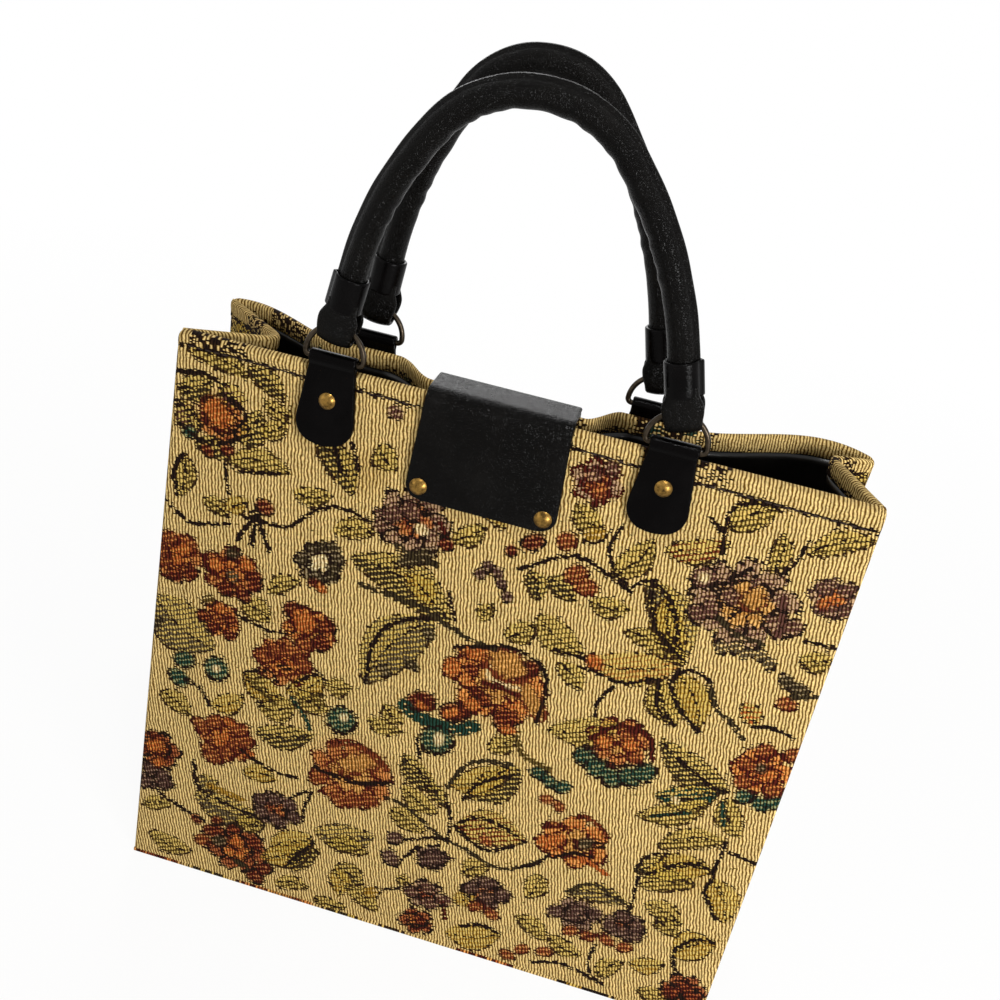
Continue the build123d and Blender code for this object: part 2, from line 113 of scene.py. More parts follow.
# A tab: length below the rim, half-width at its foot, taper, corner radius, and its eye's height and radius.
TAB_LENGTH, TAB_HALF, TAB_TAPER, TAB_CORNER = 37.0, 15.4, 4.2, 13.0
EYE_RISE, EYE_RADIUS = 4.5, 1.55
# Middle of each ring's straight bar, from front to back and up, and how far a handle's foot lies above it.
FRONT_BAR = (-30.522, 315.601)
BACK_BAR = (11.241, 315.685)
LOOP_RISE = 14.422
BACK_HANDLE_X = -13.0
# A handle's line: where its foot starts, its straight run, and the turn of its shoulder in degrees.
FOOT_START, FOOT_RUN, SHOULDER_TURN = 5.0, 25.0, 26.0
# A rolled handle: its half-sizes, then its welt, then the seams beside the welt.
ROLL_OUT, ROLL_SIDE = 6.2, 6.0
WELT_HALF, WELT_RISE = 1.25, 1.4
SEAM_AWAY, SEAM_HALF, SEAM_DEPTH = 2.3, 0.7, 0.35
# The loop at a handle's foot: outer radius, half-width, heights of its straight ends and bulge.
LOOP_RADIUS, LOOP_HALF, LOOP_ENDS, LOOP_BULGE = 5.53, 8.2, (10.0, 15.0), 1.3
# A sleeve: height of its middle above the ring, half-length, thickness and how far it lies off the roll.
SLEEVE_MIDDLE, SLEEVE_HALF, SLEEVE_THICK, SLEEVE_OFF = 18.0, 8.0, 1.6, 0.95

# Points closer than this are one point.
MERGE = 0.01
# Runs round a strip's cut: along one flat and round one edge.
FLAT_RUN, EDGE_RUN = 1.6, 0.4

# Lamps: place and width in metres, and power in watts. They all point at the middle of the bag.
LIGHTS = (
    ("key_light", (0.7, -0.72, 0.42), 8.0, 0.3),
    ("fill_light", (-1.2, -0.9, 0.7), 2.5, 0.9),
    ("top_light", (0.12, -0.45, 1.3), 5.0, 0.14),
    ("rear_light", (-0.3, 1.3, 0.9), 9.0, 0.9),
)
LIGHTS_AIM = (0.0, 0.0, 0.17)
# The camera, as fitted to the corners of the front panel: azimuth, elevation and roll in degrees, the point
# it looks at and the distance to it in metres, and its focal length in pixels of an image 1000 pixels wide.
CAMERA_ANGLES = (6.70, 26.44, 11.87)
CAMERA_AIM = (-0.0051, 0.0, 0.2534)
CAMERA_AWAY = 0.5436
FOCAL_PIXELS, IMAGE_PIXELS, SENSOR_WIDTH = 1098.3, 1000.0, 36.0

# Kinds of node that the materials use often.
MATH, VECTOR, RANGE = "ShaderNodeMath", "ShaderNodeVectorMath", "ShaderNodeMapRange"
MIX, NOISE, BUMP = "ShaderNodeMix", "ShaderNodeTexNoise", "ShaderNodeBump"


def linear(code):
    """Linear colour, with alpha, of an sRGB hex code."""
    parts = [int(code[i : i + 2], 16) / 255 for i in (1, 3, 5)]
    return [p / 12.92 if p <= 0.04045 else ((p + 0.055) / 1.055) ** 2.4 for p in parts] + [1.0]


def length(name, description, default):
    """A size in millimetres as a property in metres."""
    return FloatProperty(
        name=name, description=description, default=default * MM, min=0.0, unit="LENGTH", subtype="DISTANCE"
    )


def colour(name, description, default):
    """A colour from its hex code as a property."""
    return FloatVectorProperty(
        name=name, description=description, default=linear(default), size=4, min=0.0, max=1.0, subtype="COLOR"
    )


class CarpetBagSizes(bpy.types.PropertyGroup):
    """Sizes of the cloth, leather and thread"""

    # The picks and the grain are too fine to show. Both are drawn coarser than the real ones.
    rib_pitch: length("Rib pitch", "Distance between the ribs of the tapestry", 1.7)
    pick_pitch: length("Pick pitch", "Distance between the weft threads along a rib", 0.7)
    rib_sway: length("Rib sway", "Distance over which a rib sways to and fro", 4.5)
    cloth_step: length("Cloth step", "Distance between the vertices of the cloth", 1.1)
    rim_puff: length("Rim puff", "How far the turned rim swells above its stitching", 1.5)
    slackness: length("Slackness", "How far the walls wave in and out", 1.0)
    stitch_pitch: length("Stitch pitch", "Distance between the stitches of a seam", 4.2)
    stitch_length: length("Stitch length", "Length of one stitch", 3.7)
    stitch_radius: length("Stitch radius", "Half the thickness of the sewing thread", 0.42)
    strap_leather: length("Strap leather", "Thickness of the closing strap", 2.2)
    tab_leather: length("Tab leather", "Thickness of one layer of a tab", 1.8)
    loop_leather: length("Loop leather", "Thickness of the loop at a handle's foot", 2.3)
    grain: length("Leather grain", "Width of one cell of the leather's grain", 0.9)
    pores: length("Leather pores", "Width of the small unevenness between the cells", 1.4)
    creases: length("Leather creases", "Width of the soft creases", 6.0)
    rubs: length("Rubbed patches", "Width of the patches that wear has rubbed", 18.0)
    crinkles: length("Lining crinkles", "Width of the crinkles in the vinyl", 11.0)
    brass_film: length("Brass film", "Width of the dull patches on the brass", 2.4)
    wire_film: length("Wire film", "Width of the dull patches on the wire", 3.3)
    thread_fibres: length("Thread fibres", "Length of the streaks in the sewing thread", 1.1)
    board_fibres: length("Board fibres", "Length of the streaks in the board", 6.25)


class CarpetBagColours(bpy.types.PropertyGroup):
    """Colours of the cloth, leather and metal"""

    leather: colour("Leather", "Black grained leather of strap and handles", "#050403")
    smooth_leather: colour("Smooth leather", "Black smooth leather of tabs and sleeves", "#040303")
    lining: colour("Lining", "Black vinyl lining", "#050404")
    stitching: colour("Stitching", "Thread along the rim", "#2c1a10")
    brass: colour("Brass", "Worn brass of rivets and press studs", "#8a6a34")
    tarnish: colour("Tarnish", "Dark film in the hollows of the brass", "#2e2110")
    bronze: colour("Bronze", "Dark wire of the rings", "#40382e")
    board: colour("Board", "Grey board in the base", "#6d675c")
    floor: colour("Floor", "Pale studio floor", "#f4f3f0")


def sizes(context):
    """The sizes in millimetres by name."""
    group = context.scene.carpet_bag_sizes
    return {name: getattr(group, name) / MM for name in CarpetBagSizes.__annotations__}


def tint(context, name):
    """One of the colours as a plain list."""
    return list(getattr(context.scene.carpet_bag_colours, name))


def smooth(low, high, value):
    """0 below low, 1 above high, and an even turn between."""
    share = np.clip((value - low) / (high - low), 0.0, 1.0)
    return share * share * (3 - 2 * share)


def waves(u, v, seed):
    """Slow, uneven waves between about -1 and 1 over a wall; the divisors set their lengths in millimetres."""
    turn = seed * 1.7
    return (
        np.sin(u / 31 + turn + 0.8 * np.sin(v / 47 + turn))
        + np.sin(v / 39 - u / 83 + 2.1 * turn)
        + 0.6 * np.sin(u / 17 + v / 23 + 0.6 * turn)
    ) / 2.6


def back_rim_y(x):
    """How far back the outer line of the back rim lies at x."""
    y = np.zeros_like(x)
    for start, end, (a, b, c, d) in BACK_RIM:
        t = (x - start) / (end - start)
        bent = a * (1 - t) ** 3 + 3 * b * t * (1 - t) ** 2 + 3 * c * t * t * (1 - t) + d * t**3
        y = np.where((x >= start - 1e-6) & (x <= end + 1e-6), bent, y)
    return y


def wall_lean(facing, rim_y):
    """Cosine and sine of a wall's lean below a place on its rim; facing is -1 in front and 1 at the back."""
    lean = math.atan2(HALF_DEPTH - facing * rim_y, HEIGHT)
    return math.cos(lean), math.sin(lean)


def to_mesh(bm, name):
    """A new mesh of a bmesh, which is then freed."""
    mesh = bpy.data.meshes.new(name)
    bm.to_mesh(mesh)
    bm.free()
    return mesh


def bent_grid(name, columns, rows, place, weave=None):
    """A grid bent by place, which takes shares across and along and gives points in millimetres.

    weave gives each point's place on the flat cloth in the same way."""
    bm = bmesh.new()
    bmesh.ops.create_grid(bm, x_segments=columns, y_segments=rows, size=1.0)
    mesh = to_mesh(bm, name)
    flat = np.empty(len(mesh.vertices) * 3)
    mesh.vertices.foreach_get("co", flat)
    across, along = (flat.reshape(-1, 3)[:, 0] + 1) / 2, (flat.reshape(-1, 3)[:, 1] + 1) / 2
    points = np.stack(np.broadcast_arrays(*place(across, along)), axis=1)
    mesh.vertices.foreach_set("co", (points * MM).ravel())
    if weave:
        cloth = np.stack(np.broadcast_arrays(*weave(across, along)), axis=1)
        mesh.attributes.new("weave", "FLOAT_VECTOR", "POINT").data.foreach_set("vector", cloth.ravel())
    return mesh


def close_mesh(mesh, fill=True):
    """Merges a bent grid's meeting edges, fills its ends and turns its faces outwards."""
    bm = bmesh.new()
    bm.from_mesh(mesh)
    bmesh.ops.remove_doubles(bm, verts=bm.verts, dist=MERGE * MM)
    if fill:
        bmesh.ops.holes_fill(bm, edges=[e for e in bm.edges if e.is_boundary], sides=0)
    bmesh.ops.recalc_face_normals(bm, faces=bm.faces)
    for face in bm.faces:
        face.smooth = True
    bm.to_mesh(mesh)
    bm.free()


def join_meshes(name, meshes):
    """One mesh of several."""
    bm = bmesh.new()
    for mesh in meshes:
        bm.from_mesh(mesh)
    return to_mesh(bm, name)


def show(name, mesh, material, body, nodes):
    """Puts a finished mesh in the scene, on its body and in place of its solids."""
    piece = bpy.data.objects.new(name, mesh)
    bpy.context.scene.collection.objects.link(piece)
    mesh.materials.clear()
    mesh.materials.append(material)
    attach(piece, body)
    if nodes:
        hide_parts(*nodes)
    return piece


def path_frame(points, along):
    """Places and headings at shares along a line of points in a plane, evenly by length."""
    points = np.asarray(points, dtype=float)
    run = np.concatenate(([0.0], np.cumsum(np.hypot(*np.diff(points, axis=0).T))))
    at = along * run[-1]
    step = run[-1] / 400
    ahead, behind = np.minimum(at + step, run[-1]), np.maximum(at - step, 0)
    a, b = (np.interp(at, run, way) for way in points.T)
    da, db = (np.interp(ahead, run, way) - np.interp(behind, run, way) for way in points.T)
    scale = np.hypot(da, db)
    return a, b, da / scale, db / scale, at, run[-1]


def strip_section(across, half, thick):
    """Side and height of a flat strip's cut at shares round it: a bar with round edges.

    The way round is over the flat, round one edge, back under and round the other edge."""
    r = np.minimum(thick / 2, half * 0.98)
    flat = half - r
    run = across * 2 * (FLAT_RUN + EDGE_RUN)
    back = run - FLAT_RUN - EDGE_RUN
    top, under = (np.clip(k / FLAT_RUN, 0, 1) for k in (run, back))
    right, left = (np.clip((k - FLAT_RUN) / EDGE_RUN, 0, 1) * math.pi for k in (run, back))
    reached = [run <= FLAT_RUN, run <= FLAT_RUN + EDGE_RUN, back <= FLAT_RUN]
    sides = [2 * flat * top - flat, flat + r * np.sin(right), flat - 2 * flat * under]
    rises = [thick / 2, thick / 2 * np.cos(right), -thick / 2]
    side = np.select(reached, sides, -flat - r * np.sin(left))
    return side, np.select(reached, rises, -thick / 2 * np.cos(left))


def arc_points(centre, radius, start, end, count):
    """Points round an arc in a plane, from one angle in degrees to another."""
    turn = np.radians(np.linspace(start, end, count))
    return [(centre[0] + radius * math.cos(a), centre[1] + radius * math.sin(a)) for a in turn]


def add_node(tree, kind, links=None, values=None, **settings):
    """Adds a node, sets its options and inputs, and joins its inputs to sockets or to nodes' first outputs."""
    node = tree.nodes.new(kind)
    for key, value in settings.items():
        setattr(node, key, value)
    for key, value in (values or {}).items():
        node.inputs[key].default_value = value
    for key, source in (links or {}).items():
        socket = source.outputs[0] if isinstance(source, bpy.types.Node) else source
        tree.links.new(socket, node.inputs[key])
    return node


def new_material(name, **constants):
    """A material with one Principled shader whose constant inputs are set; gives both and the tree."""
    material = bpy.data.materials.new(name)
    material.use_nodes = True
    tree = material.node_tree
    tree.nodes.clear()
    values = {key.replace("_", " "): value for key, value in constants.items()}
    shader = add_node(tree, "ShaderNodeBsdfPrincipled", values=values)
    add_node(tree, "ShaderNodeOutputMaterial", {"Surface": shader})
    return material, tree, shader


# The tapestry's threads, as sRGB codes.
THREADS = {
    "cream": "#e3cb94",
    "straw": "#c9ad4a",
    "gold": "#a9822f",
    "ochre": "#b98340",
    "orange": "#b5602a",
    "rust": "#7a3a1e",
    "wine": "#4c170d",
    "mauve": "#5b3a30",
    "plum": "#4d342c",
    "grey": "#5f523a",
    "olive": "#5e4c20",
    "teal": "#1d3b2f",
    "coal": "#3a301c",
    "brown": "#402c14",
    "dark": "#20120a",
    "rust_lit": "#c97f40",
    "orange_lit": "#dc9147",
    "ochre_lit": "#dca95e",
    "mauve_lit": "#b08f70",
    "plum_lit": "#8f7260",
    "wine_lit": "#a5552d",
    "coal_lit": "#85755a",
    "cream_lit": "#efdfae",
    "teal_lit": "#7c8a62",
}

# The plain cloth between the motifs.
GROUND = "#dfc280"

# Leaves of the front cloth: fill, width, foot and tip, in millimetres from the middle of the base.
LEAVES = (
    ("olive", 8, -160, 303, -128, 296), ("coal", 10, -162, 281, -146, 291),
    ("mauve", 9, -150, 262, -160, 278), ("coal", 10, -127, 262, -122, 282), ("coal", 8, -152, 258, -133, 254),
    ("mauve", 8, -143, 289, -128, 284), ("coal", 8, -130, 301, -110, 290), ("olive", 6, -120, 287, -105, 283),
    ("olive", 7, -120, 270, -107, 281), ("olive", 9, -135, 253, -102, 255),
    ("olive", 8, -157, 251, -157, 227), ("olive", 6, -145, 230, -130, 223), ("gold", 7, -134, 229, -121, 235),
    ("olive", 7, -100, 246, -80, 249), ("coal", 11, -92, 276, -70, 252), ("olive", 8, -78, 231, -57, 236),
    ("olive", 9, -62, 281, -52, 269), ("olive", 8, -20, 243, -5, 255), ("coal", 8, 20, 239, 27, 224),
    ("coal", 9, 29, 238, 44, 229), ("olive", 9, 33, 277, 48, 268), ("olive", 12, 28, 217, 54, 203),
    ("coal", 17, -12, 200, -67, 221), ("olive", 11, 102, 284, 121, 300), ("olive", 7, 126, 268, 126, 289),
    ("olive", 8, 138, 282, 165, 296), ("rust", 9, 77, 266, 105, 278), ("olive", 10, 57, 247, 72, 270),
    ("grey", 15, 100, 213, 73, 251), ("gold", 11, 98, 214, 85, 246), ("olive", 8, 50, 231, 70, 233),
    ("olive", 8, 150, 230, 166, 235), ("olive", 10, -119, 178, -102, 173), ("grey", 22, -166, 168, -130, 147),
    ("gold", 9, -129, 112, -111, 124), ("olive", 12, -103, 119, -83, 128), ("olive", 8, -70, 145, -55, 147),
    ("coal", 11, -103, 104, -71, 112), ("olive", 9, -158, 112, -139, 102), ("grey", 20, -21, 199, -50, 152),
    ("olive", 7, -45, 132, -25, 130), ("olive", 7, -38, 143, -25, 135), ("olive", 8, 20, 134, 31, 147),
    ("coal", 13, 38, 129, 14, 102), ("coal", 10, -23, 117, 0, 100), ("olive", 8, 43, 195, 58, 183),
    ("olive", 12, 80, 170, 46, 156), ("ochre", 13, 100, 212, 55, 200), ("gold", 12, 100, 206, 117, 180),
    ("olive", 12, 92, 201, 106, 177), ("orange", 7, 133, 200, 142, 189), ("coal", 13, 140, 149, 101, 168),
    ("teal", 11, 136, 147, 106, 136), ("olive", 10, 133, 140, 100, 121), ("olive", 10, 140, 146, 152, 125),
    ("gold", 8, -107, 76, -88, 77), ("grey", 14, -133, 52, -92, 48), ("olive", 8, -108, 42, -90, 45),
    ("olive", 7, -162, 34, -145, 40), ("gold", 12, -90, 22, -62, 43), ("olive", 7, -80, 8, -60, 12),
    ("olive", 9, -157, 17, -130, 12), ("olive", 9, -20, 98, 2, 87), ("coal", 7, -8, 103, 5, 92),
    ("rust", 16, 12, 82, 50, 86), ("olive", 11, -24, 80, -3, 72), ("grey", 13, -62, 51, -29, 59),
    ("olive", 8, -55, 46, -30, 47), ("gold", 13, 20, 10, 50, 21), ("coal", 10, -48, 33, -30, 24),
    ("olive", 5, -13, 38, -5, 35), ("olive", 9, 21, 54, 35, 63), ("olive", 9, 62, 68, 58, 50),
    ("grey", 9, 78, 62, 110, 66), ("coal", 7, 108, 87, 121, 103), ("gold", 12, 114, 87, 146, 102),
    ("olive", 10, 112, 80, 140, 90), ("olive", 9, 118, 70, 140, 62), ("gold", 12, 146, 97, 160, 72),
    ("olive", 8, 55, 37, 75, 25), ("olive", 8, 75, 30, 95, 22), ("gold", 8, 120, 27, 138, 35),
    ("gold", 14, 140, 42, 159, 58), ("olive", 8, 105, 12, 117, 27), ("olive", 7, 125, 60, 141, 55),
    ("olive", 8, 128, 12, 148, 6), ("gold", 12, 5, 106, 33, 128), ("olive", 9, 115, 106, 148, 121),
    ("gold", 13, -86, 33, -63, 47), ("coal", 9, -72, 20, -58, 40), ("gold", 9, -22, 206, -39, 219),
    ("olive", 6, 2, 205, 6, 216), ("olive", 9, 15, 200, 28, 212), ("olive", 9, 102, 212, 69, 221),
    ("gold", 9, -47, 31, -42, 13), ("olive", 9, -40, 21, -19, 10), ("olive", 7, -57, 6, -37, 6),
    ("gold", 8, 20, 34, 31, 43), ("olive", 7, -106, 189, -90, 200), ("gold", 11, -113, 139, -91, 128),
    ("gold", 11, -71, 148, -89, 133), ("olive", 9, -84, 135, -65, 129), ("olive", 8, -24, 292, -44, 300),
    ("grey", 10, 4, 276, 24, 268), ("coal", 9, -22, 272, -40, 263), ("olive", 9, 7, 291, 24, 299),
    ("gold", 9, -8, 268, 4, 256), ("olive", 8, 82, 290, 62, 284), ("olive", 8, -96, 300, -80, 290),
    ("grey", 8, -130, 66, -122, 54),
)

# Stems and outlines: thread, width and the points they pass.
STEMS = (
    ("dark", 2.2, -165, 290, -150, 293, -140, 290), ("dark", 2.4, -140, 285, -128, 278, -133, 268),
    ("dark", 2.4, -160, 265, -150, 260, -140, 260, -130, 265), ("dark", 2.0, -128, 249, -108, 253),
    ("dark", 1.8, -136, 252, -132, 236), ("dark", 3.0, -157, 250, -161, 240, -158, 228),
    ("dark", 1.8, -167, 225, -155, 217, -148, 215, -130, 220), ("dark", 2.4, -117, 228, -125, 213),
    ("dark", 2.4, -117, 228, -117, 212), ("dark", 2.4, -116, 228, -108, 212),
    ("dark", 1.9, -122, 226, -110, 226, -100, 227, -93, 234, -85, 241, -75, 244, -60, 241),
    ("dark", 3.0, -83, 275, -78, 262), ("dark", 3.0, -75, 278, -70, 265), ("wine", 4.0, -27, 250, -20, 240),
    ("coal", 4.0, -45, 232, -35, 229, -25, 228),
    ("dark", 2.2, 15, 238, 25, 245, 33, 250, 42, 252, 55, 247, 68, 241),
    ("dark", 1.8, 56, 272, 53, 260, 58, 250, 66, 243), ("dark", 1.8, -16, 215, -10, 201),
    ("dark", 2.2, 100, 285, 102, 295, 110, 299, 120, 300), ("dark", 1.8, 100, 285, 103, 272),
    ("dark", 1.8, 93, 287, 100, 282), ("dark", 2.0, 137, 287, 135, 277, 130, 268),
    ("dark", 2.8, 105, 255, 117, 268), ("dark", 2.6, 125, 262, 130, 258),
    ("mauve", 5.0, 135, 258, 138, 245, 137, 238), ("dark", 2.2, 118, 247, 115, 243),
    ("coal", 3.4, 110, 240, 120, 234, 133, 233),
    ("dark", 2.0, 68, 245, 75, 250, 80, 248, 88, 240, 93, 230, 94, 220, 100, 213),
    ("dark", 2.2, 76, 248, 80, 235, 85, 225, 95, 217), ("dark", 1.8, 150, 240, 165, 241),
    ("coal", 3.0, 153, 210, 165, 214), ("wine", 3.6, -140, 200, -139, 193, -133, 190),
    ("dark", 1.9, -122, 172, -110, 168, -100, 167, -88, 170), ("dark", 1.8, -145, 124, -135, 121, -130, 112),
    ("dark", 2.4, -112, 139, -100, 143, -95, 138), ("dark", 2.4, -85, 141, -75, 149, -70, 148),
    ("olive", 4.0, -103, 130, -95, 125), ("teal", 3.2, -86, 131, -78, 122, -74, 115),
    ("dark", 3.0, -18, 200, -35, 194, -45, 185, -49, 172, -49, 153),
    ("coal", 3.2, -60, 207, -30, 203, -15, 198, 0, 193, 12, 192),
    ("dark", 2.3, -8, 187, 5, 191, 15, 195, 28, 194, 38, 188, 41, 175, 40, 158),
    ("wine", 4.6, 10, 172, 19, 172, 28, 170), ("wine", 3.4, 22, 177, 29, 181, 35, 187),
    ("cream", 2.4, 11, 182, 13, 175, 28, 174), ("wine", 4.0, -20, 153, -12, 149),
    ("teal", 11.0, -27, 146, -20, 142, -8, 140, 3, 141, 10, 145), ("dark", 1.8, -17, 128, -14, 118),
    ("olive", 3.6, 32, 147, 38, 137, 52, 133), ("coal", 3.0, 4, 105, 10, 120, 20, 127, 33, 129),
    ("dark", 2.2, 13, 100, 20, 113, 33, 122), ("dark", 2.4, -15, 112, -5, 103),
    ("dark", 2.2, 40, 201, 55, 201), ("dark", 2.0, 55, 196, 75, 193, 90, 200),
    ("dark", 1.9, 72, 190, 67, 180, 67, 172), ("wine", 4.0, 80, 170, 95, 168, 100, 155),
    ("wine", 3.4, 68, 158, 75, 166), ("dark", 1.8, 66, 152, 75, 148, 85, 147, 97, 151),
    ("dark", 2.6, 100, 208, 98, 200, 103, 190, 110, 183, 117, 178),
    ("dark", 2.2, 98, 203, 105, 210, 115, 207), ("coal", 2.8, 115, 205, 122, 193, 130, 188, 138, 181),
    ("dark", 2.0, 92, 200, 95, 185, 105, 178), ("dark", 2.0, 140, 189, 150, 191, 160, 189),
    ("dark", 2.2, 112, 160, 130, 150, 140, 149), ("teal", 3.0, 108, 123, 125, 131),
    ("teal", 3.0, 139, 142, 143, 130), ("dark", 2.0, 147, 120, 146, 100), ("dark", 2.0, 150, 115, 165, 113),
    ("wine", 3.0, -158, 71, -148, 70), ("dark", 1.9, -110, 90, -100, 85, -88, 82, -77, 82),
    ("dark", 2.6, -135, 73, -133, 60, -125, 52), ("gold", 5.0, -125, 60, -105, 57),
    ("dark", 2.2, -120, 52, -95, 48), ("grey", 4.0, -125, 47, -108, 43),
    ("dark", 2.0, -77, 70, -68, 76, -70, 65, -70, 55), ("dark", 1.8, -155, 47, -140, 40, -125, 35),
    ("dark", 2.4, -75, 22, -65, 38, -62, 43), ("coal", 3.4, -105, 15, -97, 12),
    ("rust", 6.5, -62, 110, -50, 114, -38, 110, -30, 105),
    ("dark", 4.0, -68, 92, -55, 90, -45, 90, -35, 93, -27, 96),
    ("coal", 2.3, -28, 87, -18, 86, -10, 82, 0, 76, 8, 72, 20, 70, 30, 66, 40, 64, 50, 68, 60, 76),
    ("dark", 1.9, 10, 72, 9, 85, 6, 95), ("dark", 2.0, 14, 85, 22, 91, 35, 91, 50, 85),
    ("dark", 2.0, 12, 82, 30, 73, 45, 80), ("dark", 1.7, -12, 64, 0, 70, 8, 72),
    ("dark", 1.7, -12, 50, -5, 62), ("plum", 3.0, 5, 63, 15, 61), ("wine", 3.6, 18, 20, 15, 30),
    ("dark", 2.0, 28, 18, 38, 23, 49, 21), ("dark", 1.7, -18, 27, -5, 33),
    ("rust", 4.0, 75, 112, 83, 109, 90, 103), ("wine", 3.6, 57, 98, 68, 102),
    ("dark", 2.6, 67, 81, 75, 87, 85, 88), ("orange", 4.0, 80, 85, 88, 83, 95, 80),
    ("dark", 1.9, 50, 68, 58, 73, 64, 82), ("coal", 2.4, 78, 62, 90, 71, 110, 65),
    ("dark", 2.2, 108, 88, 112, 98, 120, 103), ("dark", 2.2, 115, 88, 125, 97, 135, 102, 145, 101),
    ("dark", 1.9, 111, 85, 112, 60), ("dark", 2.2, 147, 97, 145, 88, 150, 80, 155, 72),
    ("wine", 2.4, 95, 37, 105, 43), ("dark", 1.9, 100, 33, 99, 20, 102, 12),
    ("dark", 2.2, 140, 45, 147, 55, 158, 58), ("dark", 2.0, 140, 42, 145, 30),
    ("dark", 1.9, 70, 8, 80, 12, 90, 13, 110, 8),
)

